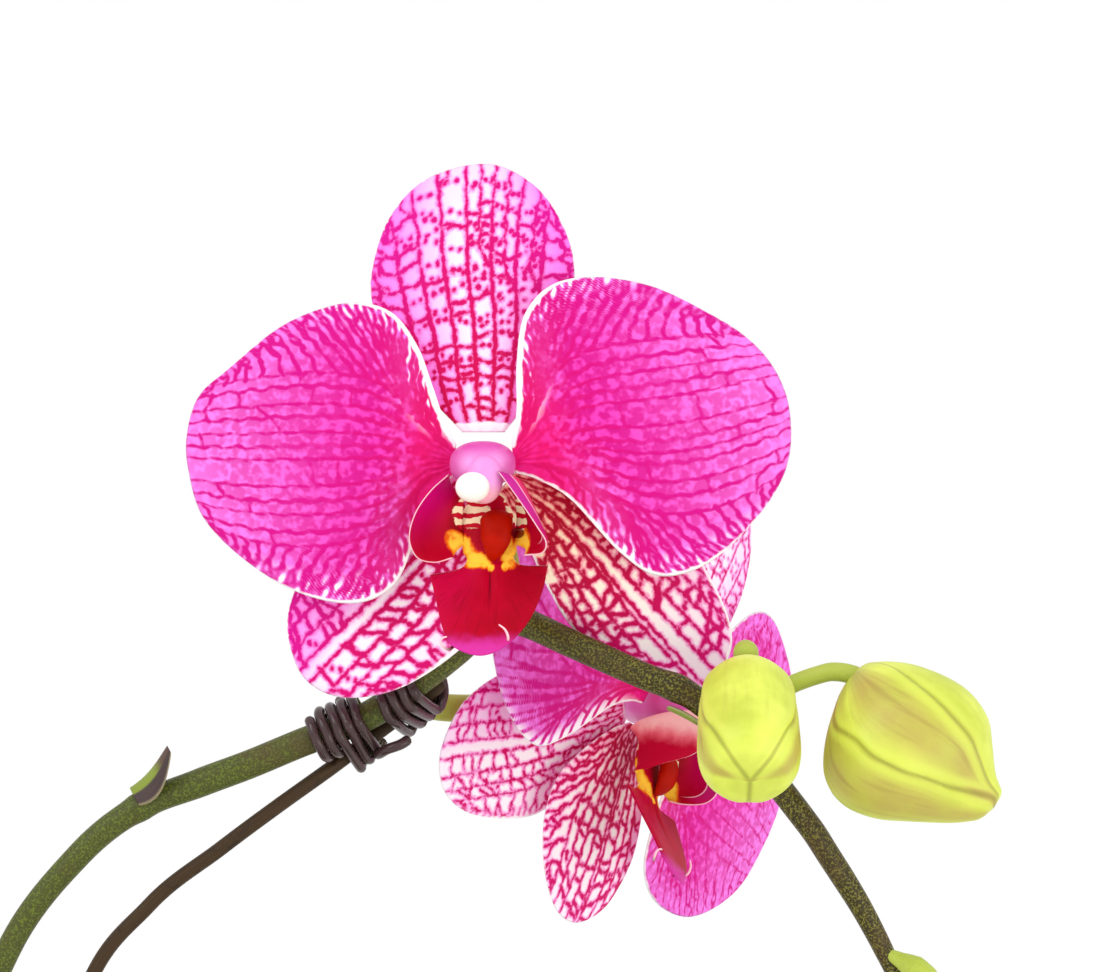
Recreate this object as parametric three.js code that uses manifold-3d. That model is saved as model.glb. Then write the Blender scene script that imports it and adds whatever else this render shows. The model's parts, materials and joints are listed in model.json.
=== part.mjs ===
// A potted moth orchid: a clay pot of bark, a crown with leaves and roots, and one staked flower stem
// with two open flowers and two large buds. Millimetres, +Z up, -Y is the side that the flowers face.
// The origin is the middle of the pot's underside.
import * as THREE from 'three';
import { mergeVertices } from 'three/addons/utils/BufferGeometryUtils.js';
import Module from 'manifold-3d';

const wasm = await Module();
wasm.setup();

// Driving dimensions
const GAP = 0.3;
const POT_HEIGHT = 115;
const POT_TOP_RADIUS = 65;
const POT_BASE_RADIUS = 46;
const POT_WALL = 5;
const POT_FLOOR = 6;
const RIM_HEIGHT = 22;
const RIM_STEP = 3;
const DRAIN_RADIUS = 6;
const DRAIN_CIRCLE = 25;
const BARK_BELOW_RIM = 14;
const CHIP_COUNT = 24;
const CROWN_HALF_WIDTH = 7.5;
const CROWN_HALF_DEPTH = 6;
const CROWN_BOTTOM = 84;
const CROWN_TOP = 149;
const LEAF_THICKNESS = 2.4;
const LEAF_FAN_ANGLE = 20;
const ROOT_RADIUS = 2.3;
const SPIKE_RADIUS = 2.2;
const STALK_RADIUS = 1.5;
const STAKE_RADIUS = 1.25;
const WIRE_RADIUS = 0.8;
const TEPAL_THICKNESS = 0.7;
const BASE_RADIUS = 4.5;
const LIP_THICKNESS = 0.9;
const FLOWER_1_CENTRE = [96.5, -22, 406];
const FLOWER_2_CENTRE = [126.3, 34, 362.5];

// Finishes
const finish = (color, roughness) => new THREE.MeshStandardMaterial({ color, roughness, metalness: 0 });
const clay = finish('#b5683f', 0.85);
const bark = finish('#5a3a24', 0.95);
const leafGreen = finish('#3f6b2a', 0.45);
const rootSilver = finish('#9fa88b', 0.8);
const stemGreen = finish('#55602a', 0.55);
const scaleBrown = finish('#4a3226', 0.7);
const stakeBrown = finish('#4b3c28', 0.7);
const wireBrown = finish('#33262a', 0.3);
const petalPink = finish('#e646c8', 0.6);
const sepalPink = finish('#f2a0cf', 0.6);
const lipRed = finish('#c80a28', 0.4);
const columnPink = finish('#e68ad2', 0.5);
const capWhite = finish('#fbf4ea', 0.5);
const budGreen = finish('#ccd054', 0.5);

const plant = new THREE.Group();
const UP = new THREE.Vector3(0, 0, 1);
const BACK = new THREE.Vector3(0, 1, 0);
const RIGHT = new THREE.Vector3(1, 0, 0);

const vector = (p) => new THREE.Vector3(...p);
const curve = (points) => new THREE.CatmullRomCurve3(points.map(vector), false, 'catmullrom', 0.5);
const degrees = THREE.MathUtils.degToRad;
const clamp = THREE.MathUtils.clamp;

function addMesh(name, geometry, material, parent = plant) {
  const mesh = new THREE.Mesh(geometry, material);
  mesh.name = name;
  parent.add(mesh);
  return mesh;
}

// A closed geometry from its points and triangles, turned so that its faces point outwards.
function closed(points, triangles) {
  let volume = 0;
  for (const [a, b, c] of triangles) {
    volume += points[a].dot(points[b].clone().cross(points[c]));
  }
  const index = triangles.flatMap(([a, b, c]) => (volume < 0 ? [a, c, b] : [a, b, c]));
  const geometry = new THREE.BufferGeometry();
  geometry.setAttribute('position', new THREE.Float32BufferAttribute(points.flatMap((p) => p.toArray()), 3));
  geometry.setIndex(index);
  return geometry;
}

function toManifold(geometry) {
  const bare = geometry.clone();
  bare.deleteAttribute('normal');
  bare.deleteAttribute('uv');
  const merged = mergeVertices(bare, 1e-4);
  return new wasm.Manifold(new wasm.Mesh({
    numProp: 3,
    vertProperties: new Float32Array(merged.attributes.position.array),
    triVerts: new Uint32Array(merged.index.array),
  }));
}

function fromManifold(solid) {
  const mesh = solid.getMesh();
  const geometry = new THREE.BufferGeometry();
  geometry.setAttribute('position', new THREE.BufferAttribute(mesh.vertProperties, 3));
  geometry.setIndex(new THREE.BufferAttribute(mesh.triVerts, 1));
  return geometry;
}

function joined(geometries) {
  return fromManifold(geometries.map(toManifold).reduce((whole, next) => whole.add(next)));
}

// Cuts the holes out and drops any loose scrap.
function cut(geometry, holes) {
  const rest = holes.map(toManifold).reduce((solid, hole) => solid.subtract(hole), toManifold(geometry));
  return fromManifold(rest.decompose().reduce((best, next) => (next.volume() > best.volume() ? next : best)));
}

// A thin closed blade. middle(x, y) gives its middle surface for x and y from 0 to 1 and half(x, y)
// half of its thickness as a vector. Both faces have the same diagonals, which run to the far corners.
function blade(middle, half, columns, rows) {
  const points = [];
  for (const side of [1, -1]) {
    for (let j = 0; j <= rows; j += 1) {
      for (let i = 0; i <= columns; i += 1) {
        const x = i / columns;
        const y = j / rows;
        points.push(middle(x, y).addScaledVector(half(x, y), side));
      }
    }
  }
  const width = columns + 1;
  const face = width * (rows + 1);
  const triangles = [];
  for (let j = 0; j < rows; j += 1) {
    for (let i = 0; i < columns; i += 1) {
      const a = j * width + i;
      const [b, c, d] = [a + 1, a + width + 1, a + width];
      const halves = i < columns / 2 ? [[a, b, d], [b, c, d]] : [[a, b, c], [a, c, d]];
      for (const [p, q, r] of halves) {
        triangles.push([p, q, r], [p + face, r + face, q + face]);
      }
    }
  }
  const edge = [];
  for (let i = 0; i < columns; i += 1) edge.push(i);
  for (let j = 0; j < rows; j += 1) edge.push(j * width + columns);
  for (let i = columns; i > 0; i -= 1) edge.push(rows * width + i);
  for (let j = rows; j > 0; j -= 1) edge.push(j * width);
  edge.forEach((a, k) => {
    const b = edge[(k + 1) % edge.length];
    triangles.push([b, a, a + face], [b, a + face, b + face]);
  });
  return closed(points, triangles);
}

// The value at the share t of a list of evenly spaced values.
function between(values, t) {
  const place = t * (values.length - 1);
  const low = Math.min(Math.floor(place), values.length - 2);
  return THREE.MathUtils.lerp(values[low], values[low + 1], place - low);
}

// A round body along a curve. ring(t, angle) gives the two offsets from the curve at the share t of its
// length: one across the curve and the side vector's plane, one along the side vector. The ends are flat.
function body(points, ring, steps, sides, side) {
  const path = curve(points);
  const vertices = [];
  for (let k = 0; k <= steps; k += 1) {
    const t = k / steps;
    const centre = path.getPointAt(t);
    const across = path.getTangentAt(t).cross(side).normalize();
    const along = across.clone().cross(path.getTangentAt(t));
    for (let i = 0; i < sides; i += 1) {
      const [first, second] = ring(t, (2 * Math.PI * i) / sides);
      vertices.push(centre.clone().addScaledVector(across, first).addScaledVector(along, second));
    }
  }
  const middleOf = (ringPoints) => ringPoints.reduce((sum, p) => sum.add(p), new THREE.Vector3())
    .divideScalar(sides);
  const first = vertices.push(middleOf(vertices.slice(0, sides))) - 1;
  const last = vertices.push(middleOf(vertices.slice(steps * sides, (steps + 1) * sides))) - 1;
  const triangles = [];
  for (let i = 0; i < sides; i += 1) {
    const next = (i + 1) % sides;
    for (let k = 0; k < steps; k += 1) {
      const [a, b] = [k * sides + i, k * sides + next];
      triangles.push([a, b, b + sides], [a, b + sides, a + sides]);
    }
    triangles.push([first, next, i], [last, steps * sides + i, steps * sides + next]);
  }
  return closed(vertices, triangles);
}

// A stalk: a body of round section whose radius is given at evenly spaced places.
function stalk(points, radii, steps, sides, side) {
  const ring = (t, a) => [between(radii, t) * Math.cos(a), between(radii, t) * Math.sin(a)];
  return body(points, ring, steps, sides, side);
}

// A wire or rod of even thickness.
function rod(points, radius, steps, sides) {
  const section = new THREE.Shape();
  for (let i = 0; i < sides; i += 1) {
    const a = (2 * Math.PI * i) / sides;
    section[i === 0 ? 'moveTo' : 'lineTo'](radius * Math.cos(a), radius * Math.sin(a));
  }
  section.closePath();
  return new THREE.ExtrudeGeometry(section, { steps, extrudePath: curve(points), curveSegments: 1 });
}

// Pot: turned clay with a rim band, a floor and three drain holes off its middle.
function makePot() {
  const rimBottom = POT_HEIGHT - RIM_HEIGHT;
  const bodyTop = POT_TOP_RADIUS - RIM_STEP;
  const profile = [
    [0, 0], [POT_BASE_RADIUS - 1.5, 0], [POT_BASE_RADIUS, 1.5], [bodyTop - 0.8, rimBottom],
    [POT_TOP_RADIUS - 1, rimBottom + 1], [POT_TOP_RADIUS, POT_HEIGHT - 2],
    [POT_TOP_RADIUS - 1.5, POT_HEIGHT], [POT_TOP_RADIUS - POT_WALL, POT_HEIGHT],
    [POT_TOP_RADIUS - POT_WALL - 1, POT_HEIGHT - 1.5], [POT_BASE_RADIUS - POT_WALL, POT_FLOOR + 2],
    [POT_BASE_RADIUS - POT_WALL - 2, POT_FLOOR], [0, POT_FLOOR],
  ].map(([r, z]) => new THREE.Vector2(r, z));
  const wall = new THREE.LatheGeometry(profile, 28).rotateX(Math.PI / 2);
  const holes = [90, 210, 330].map((angle) => new THREE.CylinderGeometry(DRAIN_RADIUS, DRAIN_RADIUS, 40, 12)
    .rotateX(Math.PI / 2)
    .translate(DRAIN_CIRCLE * Math.cos(degrees(angle)), DRAIN_CIRCLE * Math.sin(degrees(angle)), 0));
  addMesh('pot', cut(wall, holes), clay);
}

// Crown: the short upright stem. Its wide axis points along the fan of the leaves.
const fanAxis = RIGHT.clone().applyAxisAngle(UP, degrees(LEAF_FAN_ANGLE));
const fanSide = BACK.clone().applyAxisAngle(UP, degrees(LEAF_FAN_ANGLE));

const crownShares = [0.75, 0.95, 1, 1, 0.98, 0.92, 0.8, 0.45];

function crownBody(extra) {
  const ring = (t, a) => [
    (CROWN_HALF_DEPTH * between(crownShares, t) + extra) * Math.cos(a),
    (CROWN_HALF_WIDTH * between(crownShares, t) + extra) * Math.sin(a),
  ];
  return body([[0, 0, CROWN_BOTTOM - extra], [0, 0, 116], [0, 0, CROWN_TOP]], ring, 7, 12, fanAxis);
}

// Leaves: thick keeled straps in two ranks, each arching from the crown and drooping at its tip.
const leaves = [
  { side: 1, height: 111, length: 190, width: 66, rise: 26, bend: 70, turn: -8 },
  { side: -1, height: 117, length: 178, width: 68, rise: 30, bend: 66, turn: 6 },
  { side: 1, height: 124, length: 160, width: 62, rise: 44, bend: 74, turn: 9 },
  { side: -1, height: 131, length: 148, width: 60, rise: 50, bend: 70, turn: -7 },
  { side: 1, height: 139, length: 92, width: 40, rise: 66, bend: 46, turn: 2 },
];

function makeLeaf(name, { side, height, length, width, rise, bend, turn }) {
  const outward = fanAxis.clone().multiplyScalar(side).applyAxisAngle(UP, degrees(turn));
  const across = UP.clone().cross(outward);
  const radius = length / degrees(bend);
  const crownShare = between(crownShares, (height - CROWN_BOTTOM) / (CROWN_TOP - CROWN_BOTTOM));
  const start = CROWN_HALF_WIDTH * crownShare + 2 * GAP + (LEAF_THICKNESS / 2) * Math.sin(degrees(rise));
  const halfWidth = (t) => (width / 2) * (0.27 + 0.73 * Math.sin((Math.PI / 2) * Math.min(t / 0.55, 1)))
    * Math.sqrt(1 - Math.max(0, (t - 0.5) / 0.5) ** 2.6 * 0.985);
  const slope = (t) => degrees(rise - bend * t);
  const middle = (x, y) => {
    const b = (2 * x - 1) * halfWidth(y);
    const fold = (Math.hypot(b, 3) - 3) * 0.42 * (1 - 0.75 * y);
    const out = start + radius * (Math.sin(slope(0)) - Math.sin(slope(y))) - fold * Math.sin(slope(y));
    const up = radius * (Math.cos(slope(y)) - Math.cos(slope(0))) + fold * Math.cos(slope(y));
    return outward.clone().multiplyScalar(out).addScaledVector(across, b).addScaledVector(UP, height + up);
  };
  const half = (x, y) => {
    const lift = outward.clone().multiplyScalar(-Math.sin(slope(y))).addScaledVector(UP, Math.cos(slope(y)));
    return lift.multiplyScalar((LEAF_THICKNESS / 2) * (1 - 0.55 * (2 * x - 1) ** 2));
  };
  addMesh(name, blade(middle, half, 6, 12), leafGreen);
}

// Roots: thick aerial roots from the foot of the crown. Four dive in the bark, two hang over the rim.
const barkTop = POT_HEIGHT - BARK_BELOW_RIM;
const roots = [
  { angle: -126, reach: 30 }, { angle: -60, reach: 36 }, { angle: 74, reach: 33 },
  { angle: 140, reach: 38 }, { angle: -93, hang: 52 }, { angle: 108, hang: 38 },
];

function crownRadius(angle) {
  const a = degrees(angle - LEAF_FAN_ANGLE);
  return 1 / Math.hypot(Math.cos(a) / CROWN_HALF_WIDTH, Math.sin(a) / CROWN_HALF_DEPTH);
}

function rootPoints({ angle, reach, hang }) {
  const foot = crownRadius(angle) + 2 * GAP;
  const rimEdge = POT_TOP_RADIUS + GAP + ROOT_RADIUS;
  const out = hang
    ? [[foot, 113.4], [foot + 3, 113.5], [24, 114.6], [40, 117.2], [54, 118.4], [62, 118.6],
      [rimEdge - 0.8, 115.8], [rimEdge + 0.5, 109], [rimEdge + 0.8, 115 - hang / 2], [rimEdge, 115 - hang]]
    : [[foot, 106.2], [foot + 3, 106.4], [0.6 * reach, 108], [0.84 * reach, 107], [reach, 101],
      [reach + 2, 88]];
  return out.map(([r, z], k) => {
    const a = degrees(angle + (k > 2 ? 2.5 * Math.sin(k * 1.7) : 0));
    return [r * Math.cos(a), r * Math.sin(a), z];
  });
}

function rootBody(root, extra) {
  const steps = root.hang ? 16 : 10;
  const side = new THREE.Vector3(-Math.sin(degrees(root.angle)), Math.cos(degrees(root.angle)), 0);
  const radii = [1.05, 1.1, 1, 1, 0.95, 0.9, 0.55].map((share) => share * ROOT_RADIUS + extra);
  return stalk(rootPoints(root), radii, steps, 6, side);
}

// Flower stem: it leaves the crown between the leaves, bends towards the stake and runs on past the
// flowers, with a slight turn at each joint. Each flower and bud hangs on a stalk of its own.
const spikeBase = fanSide.clone().multiplyScalar(-1);
const fromCrown = (distance, z) => {
  const p = spikeBase.clone().multiplyScalar(distance);
  return [p.x, p.y, z];
};
const spikePath = [
  fromCrown(CROWN_HALF_DEPTH + 2 * GAP, 121), fromCrown(9.6, 121.2), fromCrown(12.6, 126),
  fromCrown(13.4, 145), [2, -13, 185], [0.5, -13, 225], [2, -13, 265], [8, -12.8, 300], [17, -12.3, 325],
  [28.3, -12, 340], [38.2, -10.8, 347.9], [48.4, -9.6, 352], [56.8, -8.8, 355.1], [65.3, -8.1, 358.6],
  [72.4, -7.7, 361.3], [79.5, -7.6, 364.7], [90.6, -9.5, 372.4], [95.7, -11.5, 376.8],
  [99.5, -13.2, 379.2], [103.6, -15.6, 378.9], [112, -19.3, 375.4], [122.3, -21.5, 370.9],
  [131, -22.5, 367.2], [139.6, -21.5, 359.2], [149.7, -19, 346.6], [153.6, -18, 340.8],
  [160, -16, 330.5], [165.6, -13.4, 319], [167.6, -11.4, 310.5],
];
const spikeRadii = [1.1, 1.08, 1.05, 1.05, 1, 1, 1, 1, 1, 1.05, 1, 1, 0.95, 0.95, 0.95, 0.95, 1, 1.12, 1.1, 1.12,
  1.16, 1.12, 1.05, 1, 0.95, 0.95, 0.9, 0.75, 0.4].map((share) => share * SPIKE_RADIUS);
const stalks = [
  { points: [[99.5, -13.4, 379.5], [101, -11.2, 384], [100.4, -10, 391], [98.4, -10.4, 399],
    [96.9, -12.6, 404.6], [96.5, -16.7, 406]], radii: [1.35, 1.1, 1, 1, 1.15, 1.5], side: RIGHT },
  { points: [[78.8, -7.6, 364.3], [79, -4, 365.2], [79.2, 1.2, 366], [81.8, 5.2, 365.4], [87, 6.6, 364],
    [92, 8.4, 363.5], [98, 14, 363.4], [106, 24.5, 363.6], [112, 33.5, 363.9], [118.2, 39.1, 363.8],
    [121.5, 37.1, 363.3]], radii: [1.2, 1.3, 1.5, 1.6, 1.6, 1.55, 1.3, 1.15, 1.1, 1.1, 1.3], side: UP },
  { points: [[140.3, -21.3, 358.6], [141.6, -17.5, 363], [140.8, -16.6, 369], [139.6, -20, 373.4],
    [139.3, -26.5, 374.8], [139.3, -30.5, 374.9], [139.3, -31.7, 373.6]], radii: [1.3, 1.1, 1, 1, 1.1, 1.5], side: RIGHT },
  { points: [[137.6, -22, 361.6], [141.5, -25.2, 366.2], [146.7, -27.4, 369.4], [151.6, -28.8, 371.3],
    [154.2, -29.4, 371.7], [155.6, -29.8, 371.6]], radii: [1.3, 1.1, 1, 1, 1, 1.1], side: BACK },
];
const tipBuds = [
  { points: [[166.4, -12.8, 316], [168.2, -11, 309.5], [168, -11.3, 302]], radius: 3 },
  { points: [[163.2, -14.7, 324.3], [168.3, -17.2, 321.6], [172.5, -18.8, 318.2]], radius: 2.2 },
];

function makeSpike() {
  const stem = stalk(spikePath, spikeRadii, 54, 8, BACK);
  const branches = stalks.map(({ points, radii, side }) => (
    stalk(points, radii.map((share) => share * STALK_RADIUS), 10, 8, side)));
  const tips = tipBuds.map(({ points, radius }) => (
    stalk(points, [0.35, 0.6, 1, 0.9, 0.3].map((share) => share * radius), 6, 7, BACK)));
  addMesh('flower_spike', joined([stem, ...branches, ...tips]), stemGreen);
}

// Scales at the joints of the flower stem: a small pointed blade that half clasps the stem. Each sits
// at a share of the stem's length, on the side that its face vector names.
const scales = [
  { name: 'bract_1', share: 0.58, length: 10.5, width: 7.5, lean: 2, sink: 0.4, face: [-0.5, -0.6, 0.6] },
  { name: 'bract_2', share: 0.826, length: 8.6, width: 4.2, lean: 0.9, sink: 0.85, face: [-0.6, 0, -0.8] },
  { name: 'bract_3', share: 0.225, length: 11, width: 5, lean: 0.9, sink: 0.3, face: [0, -1, 0.1] },
];
const SCALE_THICKNESS = 0.7;

function makeScale({ name, share, length, width, lean, sink, face }) {
  const stem = curve(spikePath);
  const along = stem.getTangentAt(share);
  const across = along.clone().cross(vector(face)).normalize();
  const outward = across.clone().cross(along).normalize();
  const clear = between(spikeRadii, share) + GAP + SCALE_THICKNESS / 2 + sink;
  const foot = stem.getPointAt(share).addScaledVector(outward, clear);
  const middle = (x, y) => {
    const b = (x - 0.5) * width * (0.55 + 0.75 * y - 1.18 * y * y);
    return foot.clone().addScaledVector(along, y * length).addScaledVector(across, b)
      .addScaledVector(outward, lean * y * y - 1.2 * (b * b) / width);
  };
  addMesh(name, blade(middle, () => outward.clone().multiplyScalar(SCALE_THICKNESS / 2), 4, 5), scaleBrown);
}

// Stake: a thin rod that stands in the bark and bends over with the flower stem.
const stakePath = [
  [17, -17, 66], [17, -16.5, 150], [17, -15.5, 220], [19.5, -14, 275], [29, -11.8, 316], [40, -10, 331.5],
  [51.8, -8.5, 340.8], [61, -7, 347.6], [70.3, -5.2, 354.2], [77, -3.6, 359.2], [84, -3.2, 364.4],
  [89.4, -3.6, 368.8],
];
const stakeHole = [[17, -17, 65], [17, -16.5, 150]];

// Ties: dark wire wound round the flower stem and the stake. A loop runs round the stem alone, or
// round stem and stake together, in a plane across the stem that leans by the given tilt.
const ties = [
  { name: 'tie_1', from: 68, loops: 4.5, alone: 2, pitch: 1.95, tilt: 0.5,
    tail: [[78.2, -5.6, 356.6], [80, -8.4, 357.6], [82.2, -8.6, 358.4], [83.8, -7.8, 359.4]] },
  { name: 'tie_2', from: 81.6, loops: 4, alone: 0, pitch: 1.95, tilt: -1.9, tail: [] },
];
const LOOP_POINTS = 12;
const LOOP_SLACK = 0.5;

const nearest = (samples, measure) => samples.reduce((best, p) => (measure(p) < measure(best) ? p : best));

function makeTie({ name, from, loops, alone, pitch, tilt, tail }) {
  const stemLine = curve(spikePath).getPoints(1200);
  const stakeLine = curve(stakePath).getPoints(800);
  const start = nearest(stemLine, (p) => Math.abs(p.x - from));
  const ahead = nearest(stemLine, (p) => Math.abs(p.x - from - pitch * loops));
  const along = ahead.clone().sub(start).normalize();
  const points = [];
  for (let k = 0; k <= loops * LOOP_POINTS; k += 1) {
    const turn = k / LOOP_POINTS;
    const guess = start.clone().addScaledVector(along, pitch * turn);
    const stem = nearest(stemLine, (p) => p.distanceToSquared(guess));
    const stake = nearest(stakeLine, (p) => p.distanceToSquared(stem));
    const first = stake.clone().sub(stem).addScaledVector(along, -stake.clone().sub(stem).dot(along));
    first.normalize();
    const second = along.clone().cross(first);
    const angle = 2 * Math.PI * turn + Math.PI;
    const roundStake = Math.cos(angle) > 0 && turn >= alone;
    const middle = roundStake ? stake : stem;
    const radius = (roundStake ? STAKE_RADIUS : SPIKE_RADIUS) + GAP + LOOP_SLACK + WIRE_RADIUS;
    points.push(middle.clone().addScaledVector(first, radius * Math.cos(angle))
      .addScaledVector(second, radius * Math.sin(angle))
      .addScaledVector(along, tilt * Math.sin(angle)).toArray());
  }
  points.push(...tail);
  addMesh(name, rod(points, WIRE_RADIUS, points.length + 4, 6), wireBrown);
}

// Bark: the fill of the pot, with coarse chips sunk in its top and plain holes for what stands in it.
function makeBark() {
  const wallSlope = (POT_TOP_RADIUS - 1 - POT_BASE_RADIUS) / (POT_HEIGHT - 1.5 - POT_FLOOR - 2);
  const fill = (z) => POT_BASE_RADIUS - POT_WALL + wallSlope * (z - POT_FLOOR - 2) - 1.6 * GAP;
  const bottom = POT_FLOOR + GAP;
  const profile = [[0, bottom], [fill(bottom) - 2.4, bottom], [fill(bottom + 3), bottom + 3],
    [fill(barkTop), barkTop], [0, barkTop]].map(([r, z]) => new THREE.Vector2(r, z));
  const core = new THREE.LatheGeometry(profile, 24).rotateX(Math.PI / 2);
  let seed = 41;
  const random = () => {
    seed = (seed * 16807) % 2147483647;
    return seed / 2147483647;
  };
  const chips = [];
  for (let k = 0; k < CHIP_COUNT; k += 1) {
    const distance = (fill(barkTop) - 9) * Math.sqrt((k + 0.5) / CHIP_COUNT);
    const angle = k * 2.39996 + 0.4 * random();
    const size = [9 + 8 * random(), 6 + 5 * random(), 4 + 2 * random()];
    chips.push(new THREE.BoxGeometry(...size)
      .rotateX(0.7 * (random() - 0.5)).rotateY(0.7 * (random() - 0.5)).rotateZ(6.3 * random())
      .translate(distance * Math.cos(angle), distance * Math.sin(angle), barkTop + 0.5 + 2 * random()));
  }
  const holes = [
    crownBody(GAP), ...roots.filter((root) => root.reach).map((root) => rootBody(root, GAP)),
    rod(stakeHole, STAKE_RADIUS + GAP, 3, 8),
  ];
  const solids = cut(joined([core, ...chips]), holes);
  addMesh('potting_bark', solids, bark);
}

// Flowers: each is built in a frame of its own, x to the right, y up and z out of its face, with the
// origin in the middle of the flower. Outlines run from the base up one side, over the tip and back.
const outlines = {
  dorsal_sepal: [
    [-3.6, 4.9], [-9.7, 11.5], [-15.5, 19.5], [-18.7, 27], [-18.2, 34], [-15.6, 41], [-10.6, 46.5],
    [-4, 49.2], [2.6, 49.3], [9.2, 45.2], [13.5, 38.3], [15, 31], [13.6, 21], [8.4, 11.5], [3.4, 4.9],
  ],
  petal_left: [
    [-4.5, 2.8], [-6.2, 6], [-8.4, 12.5], [-11, 19.3], [-15.5, 24.8], [-22.9, 26.1], [-32.8, 22.6],
    [-41.9, 15.5], [-47.2, 10.8], [-49.2, 4.5], [-48.9, -1.5], [-46.4, -9.2], [-39.4, -16.2],
    [-30.4, -21.5], [-21.3, -23.3], [-15, -20.6], [-11.9, -14.5], [-10, -7.5], [-5, -2.3],
  ],
  petal_right: [
    [4.6, 2.8], [5.4, 8.6], [5.4, 16], [6.6, 24], [11, 29], [18, 30.4], [27.4, 29], [36.5, 24.8],
    [43.1, 20.8], [48, 15.5], [50.6, 8.5], [50.2, -0.5], [45.5, -8.7], [37.3, -16.5], [29, -18.8],
    [22.4, -14.9], [14.5, -6.4], [9, -3], [5.1, -1.8],
  ],
  lateral_sepal_left: [
    [-5.4, -2.2], [-13, -5], [-22, -10], [-29, -16.5], [-32.6, -25], [-32, -32], [-29, -37],
    [-22.9, -39.3], [-13.9, -37.6], [-4.8, -31.8], [0, -26], [1.4, -18], [0.8, -10], [-0.6, -5.2],
  ],
  lateral_sepal_right: [
    [5.2, -1.6], [14, -1.6], [24, -4.8], [32, -10.5], [37, -18], [40.8, -26], [41.1, -32], [37.5, -37.6],
    [31, -37.6], [22, -33], [15, -28], [10.6, -21.1], [7, -13.5], [3.6, -8.2], [2.2, -5],
  ],
};

// Form of each tepal of the first flower: the direction of its midrib, its length and half its width,
// then how far it stands forward at its base, swells forward, sweeps back, leans back at its tip, cups
// at its sides and waves.
const formsOne = {
  dorsal_sepal: {
    angle: 91, length: 45, half: 17, lift: -2.4, swell: 0.4, sweep: 0, lean: 3.5, cup: 1, wave: 0.3,
  },
  petal_left: {
    angle: 179, length: 45, half: 24, lift: 0.5, swell: 3.4, sweep: 0, lean: 2.5, cup: 1.3, wave: 0.5,
  },
  petal_right: {
    angle: 7, length: 46, half: 24, lift: 0.5, swell: 3.4, sweep: 0, lean: 2.5, cup: 1.3, wave: -0.5,
  },
  lateral_sepal_left: {
    angle: 229, length: 45, half: 15, lift: -2.4, swell: 0.4, sweep: 0, lean: 4, cup: 1.4, wave: 0.4,
  },
  lateral_sepal_right: {
    angle: 316, length: 49, half: 13, lift: -2.6, swell: 0, sweep: 0, lean: 7.5, cup: 1.6, wave: 0.3,
  },
};

// The tepals of the second flower are those of the first seen in a mirror, stretched along and across
// the midrib and turned from one midrib direction to another.
const formsTwo = {
  dorsal_sepal: {
    angle: 85.3, length: 43.4, half: 17.7, lift: -2.4, swell: 0.4, sweep: -1.4, lean: 2.35, cup: 1, wave: 0.3,
  },
  petal_left: {
    angle: 171.5, length: 43, half: 28.8, lift: 0.5, swell: 3.4, sweep: 9.1, lean: 1.5, cup: 1.3, wave: 0.5,
  },
  petal_right: {
    angle: -1.7, length: 50.1, half: 28.9, lift: 0.5, swell: 3.4, sweep: -0.4, lean: 0, cup: 1.3, wave: -0.5,
  },
  lateral_sepal_left: {
    angle: 218, length: 48.2, half: 14.5, lift: -3.5, swell: 0.4, sweep: 14.5, lean: -5.5, cup: 1.4, wave: 0.4,
  },
  lateral_sepal_right: {
    angle: 283.4, length: 39.2, half: 16.6, lift: -2.4, swell: 0.4, sweep: 1.2, lean: 0.65, cup: 1.4, wave: 0.3,
  },
};
const mirrored = (points) => points.map(([x, y]) => [-x, y]).reverse();
const outlinesTwo = {
  dorsal_sepal: { shape: outlines.dorsal_sepal, angle: 91, long: 0.96, wide: 1.04 },
  petal_left: { shape: mirrored(outlines.petal_right), angle: 173, long: 0.96, wide: 1.2 },
  petal_right: { shape: mirrored(outlines.petal_left), angle: 1, long: 1.09, wide: 1.21 },
  lateral_sepal_left: { shape: outlines.lateral_sepal_left, angle: 229, long: 1.07, wide: 0.96 },
  lateral_sepal_right: { shape: mirrored(outlines.lateral_sepal_left), angle: 311, long: 0.87, wide: 1.1 },
};

function reshaped({ shape, angle, long, wide }, newAngle) {
  const [c, s] = [Math.cos(degrees(angle)), Math.sin(degrees(angle))];
  const [newC, newS] = [Math.cos(degrees(newAngle)), Math.sin(degrees(newAngle))];
  return shape.map(([x, y]) => {
    const u = BASE_RADIUS + (x * c + y * s - BASE_RADIUS) * long;
    const v = (y * c - x * s) * wide;
    return [u * newC - v * newS, u * newS + v * newC];
  });
}

// A patch that fills an outline: its sides follow the first and last thirds, its far edge the middle.
function patch(outline, x, y) {
  const rim = (s) => outline.getPointAt(clamp(s, 0, 1));
  const [first, last] = [0.37, 0.63];
  const left = rim(first * y);
  const right = rim(1 - (1 - last) * y);
  const base = rim(0).lerp(rim(1), x);
  const far = rim(first + (last - first) * x);
  const corners = rim(0).lerp(rim(1), x).lerp(rim(first).lerp(rim(last), x), y);
  return left.lerp(right, x).add(base.lerp(far, y)).sub(corners);
}

// Height of a tepal over the flower's plane, from the share a of its length and the share b of its
// half width: lift + swell sin(pi a) - sweep a - lean a^2 - cup b^2 + wave b^3 sin(9 a).
function tepalHeight({ angle, length, half, lift, swell, sweep, lean, cup, wave }, x, y) {
  const [c, s] = [Math.cos(degrees(angle)), Math.sin(degrees(angle))];
  const a = clamp((x * c + y * s - BASE_RADIUS) / length, 0, 1.1);
  const b = clamp((x * s - y * c) / half, -1.1, 1.1);
  return lift + swell * Math.sin(Math.PI * Math.min(a, 1)) - sweep * a - lean * a * a - cup * b * b
    + wave * b ** 3 * Math.sin(9 * a);
}

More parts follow.
